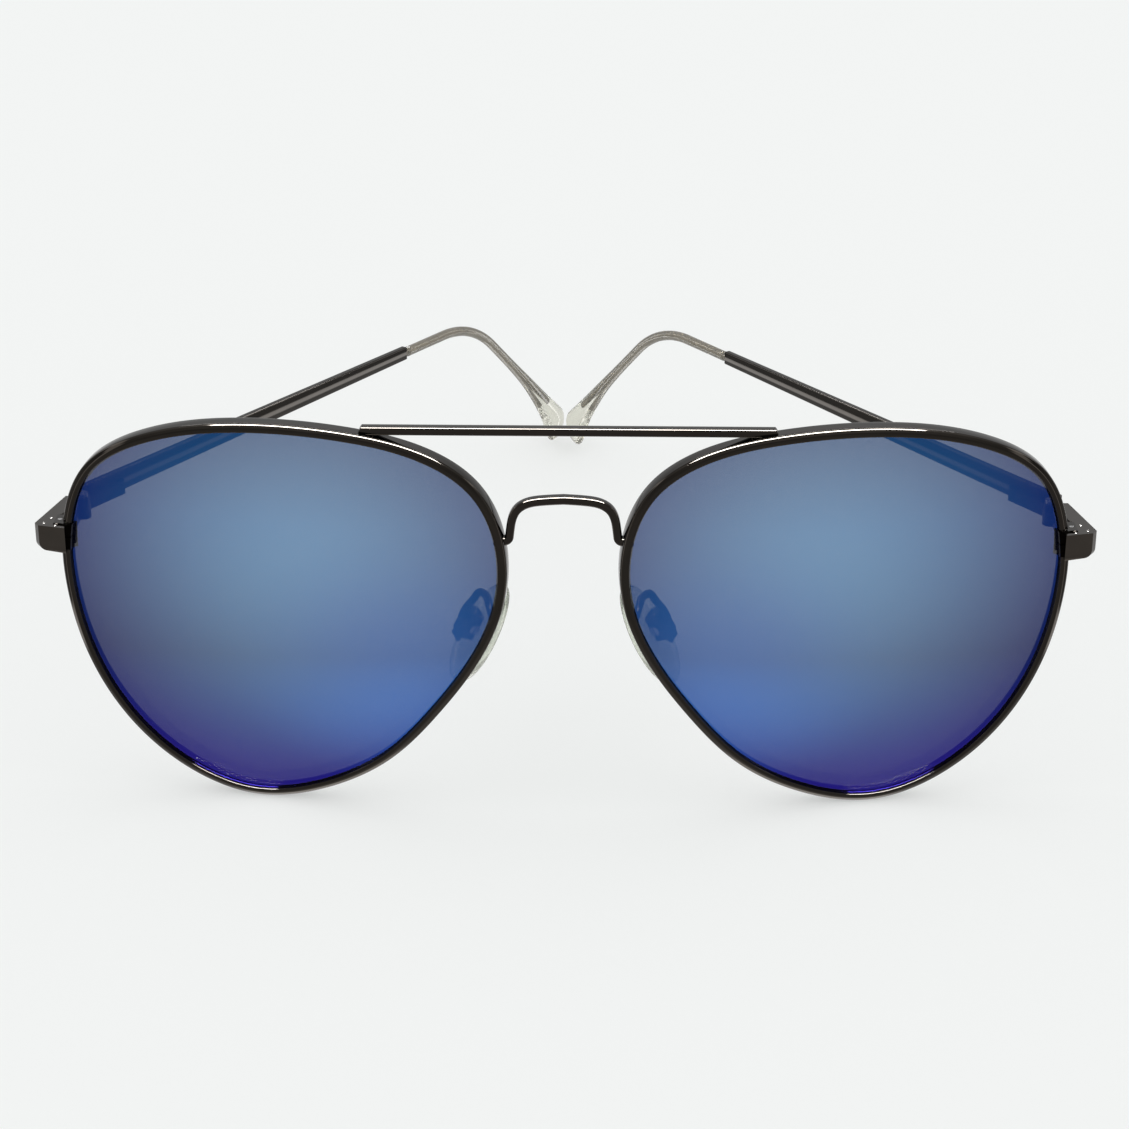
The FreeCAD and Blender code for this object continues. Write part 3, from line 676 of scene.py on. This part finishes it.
def patch(tree, oval, side):
    """Soft oval patch on a lens: 1 in its middle, 0 from its reach outwards."""
    x, y, wide, tall = oval
    centre = lens_place(np.array([x, y, 0.0]), side)
    scale = Vector((1 / (wide * MM), 0.0, 1 / (tall * MM)))
    moved = new_node(tree, "Mapping", {
        "Vector": new_node(tree, "TexCoord", {})["Object"],
        "Scale": scale,
        "Location": (-centre[0] * scale.x, 0.0, -centre[2] * scale.z),
    })["Vector"]
    ball = new_node(tree, "TexGradient", {"Vector": moved}, gradient_type="SPHERICAL")["Fac"]
    inputs = {"Value": ball}
    return new_node(tree, "MapRange", inputs, interpolation_type="SMOOTHSTEP")["Result"]


def mirror_coat_and_painted_reflection(name, side):
    """Blue mirror coat, partly its own gradient and partly painted light: greyer and lighter in
    the middle of the lens as painted light, deeper and more violet at its edge as painted shade,
    and a painted bright reflection low on the nose side.
    """
    material, tree = new_material("mirror coat and painted light " + name)
    if tree is None:
        return material
    edge, middle = solid(colours().mirror_edge_coat_and_shade), solid(colours().mirror_middle_coat_and_light)
    # partly the coat's own gradient, partly painted light in the middle and painted shade at the
    # edge
    coat = mixed(tree, patch(tree, MIDDLE_COAT_AND_LIGHT_PATCH, side), edge, middle)
    # painted reflection: a brighter, more solid blue low on the nose side
    low = patch(tree, LOW_REFLECTION_PATCH, side)
    low_reflection_share = between(tree, low, 0.0, LOW_REFLECTION_SHARE)
    principled(tree, {
        "Metallic": 1.0,
        "Roughness": MIRROR_ROUGH,
        "Base Color": mixed(tree, low_reflection_share, coat, solid(colours().mirror_low_reflection)),
        "Alpha": between(tree, low, MIRROR_ALPHA, MIRROR_ALPHA_REFLECTION),
    })
    return material


def lens_tint_and_painted_shade(name, side):
    """Dark grey-brown back of the lens, denser towards the bottom and the temple as painted
    shade.
    """
    material, tree = new_material("lens tint and painted shade " + name)
    if tree is None:
        return material
    principled(tree, {
        "Roughness": TINT_ROUGH,
        "Base Color": toned(tree, place_noise(tree, TINT_CLOUDS), colours().tint, TINT_TONES),
        # painted shade: the tint grows denser away from the unshaded patch, towards the bottom
        # and the temple
        "Alpha": between(tree, patch(tree, UNSHADED_PATCH, side), TINT_SHADED, TINT_UNSHADED),
    })
    return material


# Front of the sunglasses


def outline(share, inset):
    """Rim's outline spline, moved inwards square to itself by the inset."""
    points, tangents = spline(RIM_KNOTS, share, closed=True)
    inwards = np.stack([-tangents[:, 1], tangents[:, 0]], axis=1)
    return points + inwards * inset, inwards


def on_shell(points, height):
    """Lens-frame points at a height over the sphere that the front of the lens lies on.

    z = sqrt((radius + height)^2 - x^2 - y^2) - radius
    """
    far = (LENS_RADIUS + height) ** 2 - np.sum(points**2, axis=-1)
    return np.concatenate([points, (np.sqrt(far) - LENS_RADIUS)[..., None]], axis=-1)


def corner_arc(centre, radius, first, last, steps=4):
    """Arc from the first angle to the last, in degrees: centre plus radius times cos and sin."""
    turn = np.radians(np.linspace(first, last, steps + 1))
    return np.array(centre) + radius * np.stack([np.cos(turn), np.sin(turn)], axis=1)


def rim_profile():
    """Rim cut across: inset from the outer edge, and height over the lens's front."""
    wide = sizes().rim_width / MM
    edge = sizes().rim_edge / MM
    soft = edge / 2
    front, back = RIM_LIP, -LENS_THICK - RIM_LIP
    slot_front, slot_back = GROOVE_PLAY, -LENS_THICK - GROOVE_PLAY
    slot_in = wide - GROOVE_DEPTH
    across = np.linspace(edge, wide - soft, 7)[1:-1]
    crown = RIM_CROWN * (1 - ((across - edge) / (wide - soft - edge) * 2 - 1) ** 2)
    return np.vstack([
        corner_arc((edge, back + edge), edge, 270.0, 180.0),
        corner_arc((edge, front - edge), edge, 180.0, 90.0),
        np.stack([across, front + crown], axis=1),
        corner_arc((wide - soft, front - soft), soft, 90.0, 0.0, 3),
        [(wide, slot_front), (slot_in, slot_front), (slot_in, slot_back), (wide, slot_back)],
        corner_arc((wide - soft, back + soft), soft, 0.0, -90.0, 3),
    ])


def block_shares():
    """Where the outline meets the top and the bottom of the closing block."""
    dense = np.linspace(0.0, 1.0, SEARCH_STEPS)
    points, _ = spline(RIM_KNOTS, dense, closed=True)
    level = -LENS_CENTRE[2]
    temple_side = points[:, 0] > SEARCH_FROM
    rising = dense[temple_side & (np.abs(points[:, 1] - (level + BLOCK_HALF)) < SEARCH_NEAR)]
    falling = dense[temple_side & (np.abs(points[:, 1] - (level - BLOCK_HALF)) < SEARCH_NEAR)]
    return falling.mean(), rising.mean()


class GLASSES_OT_rims(bpy.types.Operator):
    """Grooved rim wire round each lens, from the top of the closing block to its bottom"""

    bl_idname = "glasses.rims"
    bl_label = "Rims"

    def execute(self, context):
        profile = rim_profile()
        low, high = block_shares()
        share = np.linspace(high, low + 1.0, RIM_RINGS) % 1.0
        for name, side in SIDES:
            points, inwards = outline(share, 0.0)
            flat = points[:, None, :] + profile[None, :, 0, None] * inwards[:, None, :]
            grid = lens_place(on_shell(flat, profile[None, :, 1]), side)
            rim = make_piece("rim_" + name, [grid], sharp=40.0)
            fit(rim, "front", [name + "_rim"], "gunmetal", gunmetal())
        return {"FINISHED"}


class GLASSES_OT_lenses(bpy.types.Operator):
    """Curved lenses: rings shrunk towards the optical centre, front and back"""

    bl_idname = "glasses.lenses"
    bl_label = "Lenses"

    def execute(self, context):
        share = np.linspace(0.0, 1.0, LENS_POINTS, endpoint=False)
        edge, _ = outline(share, LENS_INSET)
        bevel_share = LENS_BEVEL / LENS_REACH
        reach = np.concatenate([np.linspace(*LENS_RINGS), [1.0 - bevel_share, 1.0]])
        shares = np.concatenate([reach, reach[::-1]])
        drop = np.zeros(len(reach))
        drop[-1] = LENS_BEVEL
        heights = np.concatenate([-drop, drop[::-1] - LENS_THICK])
        rings = shares[:, None, None] * edge[None]
        grid_local = on_shell(rings, heights[:, None])
        for name, side in SIDES:
            lens = make_piece("lens_" + name, [lens_place(grid_local, side)], sharp=40.0)
            coats = mirror_coat_and_painted_reflection(name, side), lens_tint_and_painted_shade(name, side)
            fit(lens, "front", [name + "_lens"], "mirror_lens", *coats)
            lens.visible_diffuse = False  # its blue coat throws no blue light on the floor
            rows = len(reach)
            material = np.ones((len(shares) - 1, len(edge)), np.int32)
            material[: rows - 1] = 0
            index = np.concatenate([material.ravel(), [0, 1]]).astype(np.int32)
            lens.data.polygons.foreach_set("material_index", index)
        return {"FINISHED"}


class GLASSES_OT_bridge(bpy.types.Operator):
    """Arched strip whose ends turn outwards to the rims, with solder beads at its feet"""

    bl_idname = "glasses.bridge"
    bl_label = "Bridge"

    def execute(self, context):
        half, _ = spline(BRIDGE_ARCH, np.linspace(0.0, 1.0, BRIDGE_RINGS))
        turn = np.linspace(math.pi, 1.5 * math.pi, FOOT_RINGS)[1:]
        centre = np.array(BRIDGE_ARCH[-1]) + (BRIDGE_TURN, 0.0)
        foot = centre + BRIDGE_TURN * np.stack([np.cos(turn), np.sin(turn)], axis=1)
        end = np.array([[BRIDGE_FOOT_END, foot[-1, 1]]])
        half = np.vstack([half, foot, end])
        flat = np.vstack([half[::-1] * (-1, 1), half[1:]])
        path = np.stack([flat[:, 0], np.full(len(flat), BRIDGE_Y), flat[:, 1]], axis=1)
        along = unit(np.gradient(path, axis=0))
        depth = np.repeat([[0.0, 1.0, 0.0]], len(path), axis=0)
        up = np.cross(depth, along)
        deep = sizes().bridge_deep / MM
        profile = rounded_rectangle(deep, sizes().bridge_tall / MM, BRIDGE_ROUND)
        grids = [front_place(carried(path, depth, up, profile[None]), 1.0)]
        for side in (1.0, -1.0):
            for x, z in BRIDGE_BEADS:
                place = (x, BRIDGE_Y - BRIDGE_BEAD_FORWARD, z)
                bead = dome(place, BRIDGE_BEAD_FACING, *BRIDGE_BEAD_SIZE)
                grids.append(front_place(bead, side))
        strip = make_piece("bridge_strip", grids)
        fit(strip, "front", ["bridge"], "gunmetal", gunmetal())
        return {"FINISHED"}


class GLASSES_OT_brow_bar(bpy.types.Operator):
    """Straight bar with slanted ends: x = middle + t (half - slant times height share)"""

    bl_idname = "glasses.brow_bar"
    bl_label = "Brow bar"

    def execute(self, context):
        tall = sizes().bar_tall / MM
        deep = sizes().bar_deep / MM
        profile = rounded_rectangle(deep, tall, BAR_ROUND)
        tight = rounded_rectangle(deep - 2 * BAR_CAP, tall - 2 * BAR_CAP, BAR_CAP_ROUND)
        share = (profile[:, 1] + tall / 2) / tall
        reach = BAR_HALF - BAR_SLANT * share
        steps = np.linspace(-1.0, 1.0, BAR_RINGS)
        x = BAR_MIDDLE + steps[:, None] * reach[None]
        sections = np.repeat(profile[None], len(steps), axis=0)
        x = np.vstack([x[:1] - BAR_CAP, x, x[-1:] + BAR_CAP])
        sections = np.vstack([tight[None], sections, tight[None]])
        grid = np.stack([x, BAR_Y + sections[..., 0], BAR_Z + sections[..., 1]], axis=-1)
        grids = [front_place(grid, 1.0)]
        for side in (1.0, -1.0):
            foot = rounded_rectangle(BAR_FOOT_WIDE, BAR_FOOT_DEEP, BAR_FOOT_ROUND)
            path = np.array([[BAR_FOOT, BAR_Y, BAR_Z + level] for level in BAR_FOOT_LEVELS])
            across = np.repeat([[1.0, 0.0, 0.0]], 2, axis=0)
            depth = np.repeat([[0.0, 1.0, 0.0]], 2, axis=0)
            grids.append(front_place(carried(path, across, depth, foot[None]), side))
            place = np.array([BAR_FOOT, BAR_Y, BAR_Z]) + BAR_BEAD
            bead = dome(place, BAR_BEAD_FACING, *BAR_BEAD_SIZE)
            grids.append(front_place(bead, side))
        bar = make_piece("brow_strip", grids)
        fit(bar, "front", ["brow_bar"], "gunmetal", gunmetal())
        return {"FINISHED"}


class GLASSES_OT_end_pieces(bpy.types.Operator):
    """Bent plates that carry the hinges, rounded under their outer side"""

    bl_idname = "glasses.end_pieces"
    bl_label = "End pieces"

    def execute(self, context):
        plan = np.array(END_PLAN)
        turn = np.linspace(0.0, math.pi / 2, END_RINGS)
        levels = np.concatenate([END_BOTTOM + END_ROUND * (1 - np.cos(turn)), [END_TOP]])
        inset = np.concatenate([END_ROUND * (1 - np.sin(turn)), [0.0]])
        outer = (plan[:, 0] > END_ROUND_FROM).astype(float)
        x = plan[None, :, 0] - inset[:, None] * outer[None]
        y = np.repeat(plan[None, :, 1], len(levels), axis=0)
        z = np.repeat(levels[:, None], len(plan), axis=1)
        grid = np.stack([x, y, z], axis=-1)
        for name, side in SIDES:
            plate = make_piece("end_plate_" + name, [front_place(grid, side)], sharp=30.0)
            bevelled(plate, END_BEVEL * MM, END_BEVEL_STEPS)
            # a lighter copy of the plating: painted light on the end plates
            plating = gunmetal("gunmetal end plate, painted light", END_PAINTED_LIGHT)
            fit(plate, "front", [name + "_end_piece"], "gunmetal", plating)
            dots = []
            for x, y in END_DOTS:
                bead = dome((x, y, END_TOP - DOT_SUNK), (0, 0, 1), DOT_RADIUS, DOT_HEIGHT)
                dots.append(front_place(bead, side))
            rivets = make_piece("end_rivets_" + name, dots)
            finish = bright_steel("solder", colours().solder, SOLDER_ROUGH)
            fit(rivets, "front", [], "screw_steel", finish)
        return {"FINISHED"}


# Temples


def temple_path(first, last):
    """Straight blade line, arc of the bend, then straight slope; X stays at the middle.

    First is a distance along the blade and last one down the slope from the bend's corner.
    Returns points, tangents and the distance down the slope of each point.
    """
    cut = BEND_RADIUS * math.tan(BEND_ANGLE / 2)
    arc_length = BEND_RADIUS * BEND_ANGLE
    straight = BEND_CORNER - cut - first
    total = straight + arc_length + last - cut
    s = np.linspace(0.0, total, max(PATH_LEAST, int(total / PATH_STEP)))
    turn = np.clip((s - straight) / BEND_RADIUS, 0.0, BEND_ANGLE)
    rest = np.maximum(s - straight - arc_length, 0.0)
    flat = np.minimum(s, straight)
    y = first + flat + BEND_RADIUS * np.sin(turn) + rest * np.cos(turn)
    z = TEMPLE_RISE - BEND_RADIUS * (1 - np.cos(turn)) - rest * np.sin(turn)
    points = np.stack([np.full(len(s), BLADE_MIDDLE), y, z], axis=1)
    tangents = np.stack([np.zeros(len(s)), np.cos(turn), -np.sin(turn)], axis=1)
    return points, tangents, s - total + last


class GLASSES_OT_temples(bpy.types.Operator):
    """Tapered flat temples with rounded long edges and softened ends"""

    bl_idname = "glasses.temples"
    bl_label = "Temples"

    def execute(self, context):
        thick = sizes().blade_thick / MM
        y = np.concatenate([
            [BLADE_START, BLADE_START + BLADE_SOFT],
            np.linspace(*BLADE_CUTS),
            [BLADE_END - BLADE_SOFT, BLADE_END],
        ])
        shrink = np.zeros(len(y))
        shrink[[0, -1]] = BLADE_SOFT
        tall = np.interp(
            y, [BLADE_START, BLADE_END], [sizes().blade_tall / MM, sizes().blade_tall_end / MM]
        )
        turn = circle(BLADE_STEPS)[None]
        flat_x = thick / 2 - BLADE_EDGE
        x = np.sign(turn[..., 0]) * flat_x + BLADE_EDGE * turn[..., 0]
        x = x * (1 - shrink[:, None] / thick * 2)
        z = np.sign(turn[..., 1]) * (tall[:, None] / 2 - BLADE_EDGE - shrink[:, None])
        z = z + BLADE_EDGE * turn[..., 1]
        grid = np.stack(
            [BLADE_MIDDLE + x, np.repeat(y[:, None], x.shape[1], 1), TEMPLE_RISE + z], axis=-1
        )
        for name, side in SIDES:
            blade = make_piece("temple_" + name, [temple_place(grid, side)])
            body = name + "_temple"
            fit(blade, body, [name + "_temple_blade"], "gunmetal", gunmetal())
        return {"FINISHED"}


class GLASSES_OT_tips(bpy.types.Operator):
    """Clear tips: an oval carried along the bent wire that widens to a paddle, over its core"""

    bl_idname = "glasses.tips"
    bl_label = "Temple tips"

    def execute(self, context):
        points, tangents, _ = temple_path(BLADE_END + CORE_START, CORE_LENGTH)
        core = domed_wire(points, tangents, ACROSS, sizes().core_radius / MM)
        points, tangents, slope = temple_path(BLADE_END + TIP_START, TIP_END)
        sections = np.array(TIP_SECTIONS)
        knots = spline(sections, np.linspace(0.0, 1.0, TIP_STEPS))[0]
        tall = np.interp(slope, knots[:, 0], knots[:, 1]) / 2
        wide = np.interp(slope, knots[:, 0], knots[:, 2]) / 2
        drop = np.interp(slope, knots[:, 0], knots[:, 3])
        left = np.clip((TIP_END - slope) / TIP_ROUND, 0.0, 1.0)
        nose = np.sqrt(np.clip(1 - (1 - left) ** 2, TIP_LEAST**2, 1.0))
        begin = np.clip((slope - slope[0]) / TIP_LEAD, 0.0, 1.0)
        swell = np.sqrt(np.clip(1 - (1 - begin) ** 2, 0.0, 1.0))
        lead = TIP_LEAD_SHARE + (1 - TIP_LEAD_SHARE) * swell
        reach = np.stack([wide * nose * lead, tall * nose * lead], axis=1)
        oval = circle(TIP_POINTS)[None] * reach[:, None]
        across = np.repeat([[1.0, 0.0, 0.0]], len(points), axis=0)
        up = np.cross(across, tangents)
        sleeve = carried(points - up * drop[:, None], across, up, oval)
        for name, side in SIDES:
            body = name + "_temple"
            wire = make_piece("core_" + name, [temple_place(core, side)])
            steel = bright_steel("core steel", colours().steel, CORE_ROUGH)
            fit(wire, body, [name + "_temple_core"], "core_steel", steel)
            tip = make_piece("tip_" + name, [temple_place(sleeve, side)])
            plastic = clear_plastic("clear tip", colours().clear, TIP_MILKY)
            fit(tip, body, [name + "_temple_sleeve"], "clear_tip", plastic)
        return {"FINISHED"}


# Nose pads


class GLASSES_OT_pad_arms(bpy.types.Operator):
    """Bent wires from the backs of the rims to the backs of the pad boxes"""

    bl_idname = "glasses.pad_arms"
    bl_label = "Pad arms"

    def execute(self, context):
        radius = sizes().wire_radius / MM
        back = -BOX_BACK - radius
        top = BOX_UP + BOX_LONG / 2
        last = pad_point(np.array([
            [0.0, top + PAD_WIRE_BEFORE, back], [0.0, top - PAD_WIRE_TOUCH, back],
        ]))
        knots = np.vstack([PAD_WIRE, last])
        path, tangents = spline(knots, np.linspace(0.0, 1.0, WIRE_RINGS))
        plane = np.linalg.svd(path - path.mean(axis=0))[2][2]
        wire = domed_wire(path, tangents, plane, radius)
        for name, side in SIDES:
            arm = make_piece("pad_wire_" + name, [front_place(wire, side)])
            fit(arm, "front", [name + "_pad_arm"], "gunmetal", gunmetal())
        return {"FINISHED"}


class GLASSES_OT_nose_pads(bpy.types.Operator):
    """Nose pads: rings of an egg-shaped oval, lifted from its back to its crowned front

    From front to back, a ring's size is sin^0.5 of an angle and its height is cos^0.8 of it.
    """

    bl_idname = "glasses.nose_pads"
    bl_label = "Nose pads"

    def execute(self, context):
        half_long = sizes().pad_long / MM / 2
        half_wide = sizes().pad_wide / MM / 2
        turn = np.linspace(0.0, 2 * math.pi, PAD_POINTS, endpoint=False)
        egg = 1.0 - PAD_EGG * np.sin(turn)
        ring = np.stack([half_wide * egg * np.cos(turn), half_long * np.sin(turn)], axis=1)
        rise = np.linspace(PAD_POLE, math.pi - PAD_POLE, PAD_RINGS)
        reach = np.sin(rise) ** PAD_SIDE_POWER
        height = np.sign(np.cos(rise)) * np.abs(np.cos(rise)) ** PAD_FACE_POWER * PAD_THICK / 2
        flat = reach[:, None, None] * ring[None]
        z = np.repeat(height[:, None], len(turn), axis=1)
        crown = PAD_CROWN * (1 - reach[:, None] ** 2)
        z = np.where(z > 0, z * PAD_FRONT_SHARE + crown, z)
        local = np.concatenate([flat, z[..., None]], axis=-1)
        grid = pad_point(local.reshape(-1, 3)).reshape(local.shape)
        for name, side in SIDES:
            pad = make_piece("pad_" + name, [front_place(grid, side)], sharp=60.0)
            plastic = clear_plastic("clear pad", colours().pad, PAD_MILKY)
            fit(pad, name + "_pad", [name + "_nose_pad"], "clear_pad", plastic)
        return {"FINISHED"}


class GLASSES_OT_hardware(bpy.types.Operator):
    """Finish of the hinges, blocks, boxes, pegs and screws, which keep their own shapes"""

    bl_idname = "glasses.hardware"
    bl_label = "Hardware"

    def execute(self, context):
        plating = gunmetal()
        steel = bright_steel("screw steel", colours().screws, SCREW_ROUGH)
        finish = {
            "closing_block_upper": plating, "closing_block_lower": plating,
            "front_hinge": plating, "temple_hinge": plating, "pad_box": plating,
            "closing_screw": steel, "hinge_screw": steel, "pad_screw": steel,
            "pad_insert": clear_plastic("clear peg", colours().pad, PEG_MILKY),
        }
        for name, _ in SIDES:
            for node, material in finish.items():
                mesh = frame["nodes"][name + "_" + node].data
                mesh.materials.clear()
                mesh.materials.append(material)
        return {"FINISHED"}


# Stage


def levels_along(tree, value, levels, warmth=0.0):
    """Light level that follows the value through places and levels, warmer or neutral."""
    ramp = tree.nodes.new("ShaderNodeValToRGB")
    feed(tree, ramp, {"Fac": value})
    stops = ramp.color_ramp.elements
    stops.remove(stops[0])
    for index, (place, level) in enumerate(levels):
        stop = stops.new(place) if index else stops[0]
        stop.position = place
        stop.color = (level * (1 + warmth), level, level * (1 - warmth), 1.0)
    return ramp.outputs["Color"]


def worked_out(tree, operation, *values):
    """Result of one step of arithmetic on the values."""
    return new_node(tree, "Math", dict(enumerate(values)), operation=operation)["Value"]


def before_matt(tree, ray):
    """1 for a ray that has met no matt surface yet, else 0."""
    return worked_out(tree, "LESS_THAN", ray["Diffuse Depth"], 0.5)


def background(tree, shade, strength=1.0):
    """Light of the surroundings."""
    return new_node(tree, "Background", {"Color": shade, "Strength": strength})["Background"]


def chosen(tree, share, first, second):
    """The first light where the share is 0, the second where it is 1."""
    return new_node(tree, "MixShader", {0: share, 1: first, 2: second})["Shader"]


def studio_world():
    """Even pale light, with a studio of light panels that only shiny and clear surfaces see."""
    world = bpy.data.worlds.new("Studio")
    bpy.context.scene.world = world
    world.use_nodes = True
    tree = world.node_tree
    tree.nodes.clear()
    ray = new_node(tree, "LightPath", {})
    where = new_node(tree, "TexCoord", {})["Generated"]
    way = new_node(tree, "SeparateXYZ", {"Vector": where})
    height = new_node(tree, "MapRange", {"Value": way["Z"], "From Min": -1.0})["Result"]
    inputs = {"Value": way["Y"], "From Min": FRONT_TO_BACK[0], "From Max": FRONT_TO_BACK[1]}
    behind = new_node(tree, "MapRange", inputs, interpolation_type="SMOOTHSTEP")["Result"]
    sideways = worked_out(tree, "ABSOLUTE", way["X"])
    front = levels_along(tree, height, FRONT_LEVELS, FRONT_WARMTH)
    back = levels_along(tree, height, BACK_LEVELS)
    panels = levels_along(tree, sideways, SIDE_LEVELS)
    walls = mixed(tree, behind, front, back)
    studio = mixed(tree, 1.0, walls, panels, blend_type="MULTIPLY")
    shiny = worked_out(tree, "MAXIMUM", ray["Is Glossy Ray"], ray["Is Transmission Ray"])
    reflected = worked_out(tree, "MULTIPLY", shiny, before_matt(tree, ray))
    room = background(tree, solid(WHITE), ROOM_LIGHT)
    light = chosen(tree, reflected, room, background(tree, studio))
    seen = chosen(tree, ray["Is Camera Ray"], light, background(tree, solid(BACKDROP)))
    new_node(tree, "OutputWorld", {"Surface": seen})


def turned_to(thing, place, way):
    """Put a light or a camera in its place, looking along the way."""
    thing.location = place
    thing.rotation_mode = "QUATERNION"
    thing.rotation_quaternion = way.to_track_quat("-Z", "Y")
    bpy.context.scene.collection.objects.link(thing)


def soft_box(name, place, wide, deep, power):
    """Rectangular light that shows as a highlight in the metal and leaves the floor even."""
    data = bpy.data.lights.new(name, "AREA")
    data.shape = "RECTANGLE"
    data.size = wide
    data.size_y = deep
    data.energy = power
    data.use_nodes = True
    tree = data.node_tree
    strength = before_matt(tree, new_node(tree, "LightPath", {}))
    feed(tree, tree.nodes["Emission"], {"Strength": strength})
    light = bpy.data.objects.new(name, data)
    light.visible_diffuse = False
    light.visible_transmission = False
    turned_to(light, place, Vector(LIGHT_AIM) - Vector(place))


class GLASSES_OT_stage(bpy.types.Operator):
    """Pale floor, soft light and the camera"""

    bl_idname = "glasses.stage"
    bl_label = "Stage"

    def execute(self, context):
        far = FLOOR_REACH
        mesh = bpy.data.meshes.new("floor")
        corners = [(-far, -far, 0), (far, -far, 0), (far, far, 0), (-far, far, 0)]
        mesh.from_pydata(corners, [], [(0, 1, 2, 3)])
        floor = bpy.data.objects.new("floor", mesh)
        context.scene.collection.objects.link(floor)
        floor.visible_glossy = False
        material, tree = new_material("pale floor")
        principled(tree, {
            "Base Color": solid(colours().floor, 1 - FLOOR_GLOW),
            "Emission Color": solid(colours().floor),
            "Emission Strength": FLOOR_GLOW * ROOM_LIGHT,
            "Roughness": 1.0,
            "Specular IOR Level": 0.0,
        })
        mesh.materials.append(material)
        studio_world()
        for light in LIGHTS:
            soft_box(*light)
        data = bpy.data.cameras.new("Camera")
        camera = bpy.data.objects.new("Camera", data)
        data.sensor_width = CAMERA_SENSOR
        data.lens = CAMERA_LENS
        data.clip_start = CAMERA_NEAR
        aim = Vector(front_place(np.array(CAMERA_AIM), 1.0))
        azimuth = math.radians(CAMERA_AZIMUTH)
        elevation = math.radians(CAMERA_ELEVATION)
        away = Vector(np.array([
            math.sin(azimuth) * math.cos(elevation),
            -math.cos(azimuth) * math.cos(elevation),
            math.sin(elevation),
        ]) @ FRONT_AXES)
        turned_to(camera, aim + away * CAMERA_DISTANCE, -away)
        context.scene.camera = camera
        context.scene.view_settings.view_transform = "Standard"
        return {"FINISHED"}


class GLASSES_PT_panel(bpy.types.Panel):
    """Lists the pieces of the sunglasses"""

    bl_idname = "GLASSES_PT_panel"
    bl_label = "Aviator sunglasses"
    bl_space_type = "VIEW_3D"
    bl_region_type = "UI"
    bl_category = "Sunglasses"

    def draw(self, context):
        for group in (context.scene.glasses_sizes, context.scene.glasses_colours):
            box = self.layout.box()
            for name in group.bl_rna.properties.keys():
                if name not in ("rna_type", "name"):
                    box.prop(group, name)
        for operator in OPERATORS:
            self.layout.operator(operator.bl_idname)


OPERATORS = (
    GLASSES_OT_stage, GLASSES_OT_rims, GLASSES_OT_lenses, GLASSES_OT_bridge,
    GLASSES_OT_brow_bar, GLASSES_OT_end_pieces, GLASSES_OT_temples, GLASSES_OT_tips,
    GLASSES_OT_pad_arms, GLASSES_OT_nose_pads, GLASSES_OT_hardware,
)
CLASSES = (GlassesSizes, GlassesColours, *OPERATORS, GLASSES_PT_panel)


def register():
    for item in CLASSES:
        bpy.utils.register_class(item)
    bpy.types.Scene.glasses_sizes = bpy.props.PointerProperty(type=GlassesSizes)
    bpy.types.Scene.glasses_colours = bpy.props.PointerProperty(type=GlassesColours)


def unregister():
    del bpy.types.Scene.glasses_colours
    del bpy.types.Scene.glasses_sizes
    for item in reversed(CLASSES):
        bpy.utils.unregister_class(item)


def main():
    register()
    for operator in OPERATORS:
        group, name = operator.bl_idname.split(".")
        getattr(getattr(bpy.ops, group), name)()


if __name__ == "__main__":
    main()
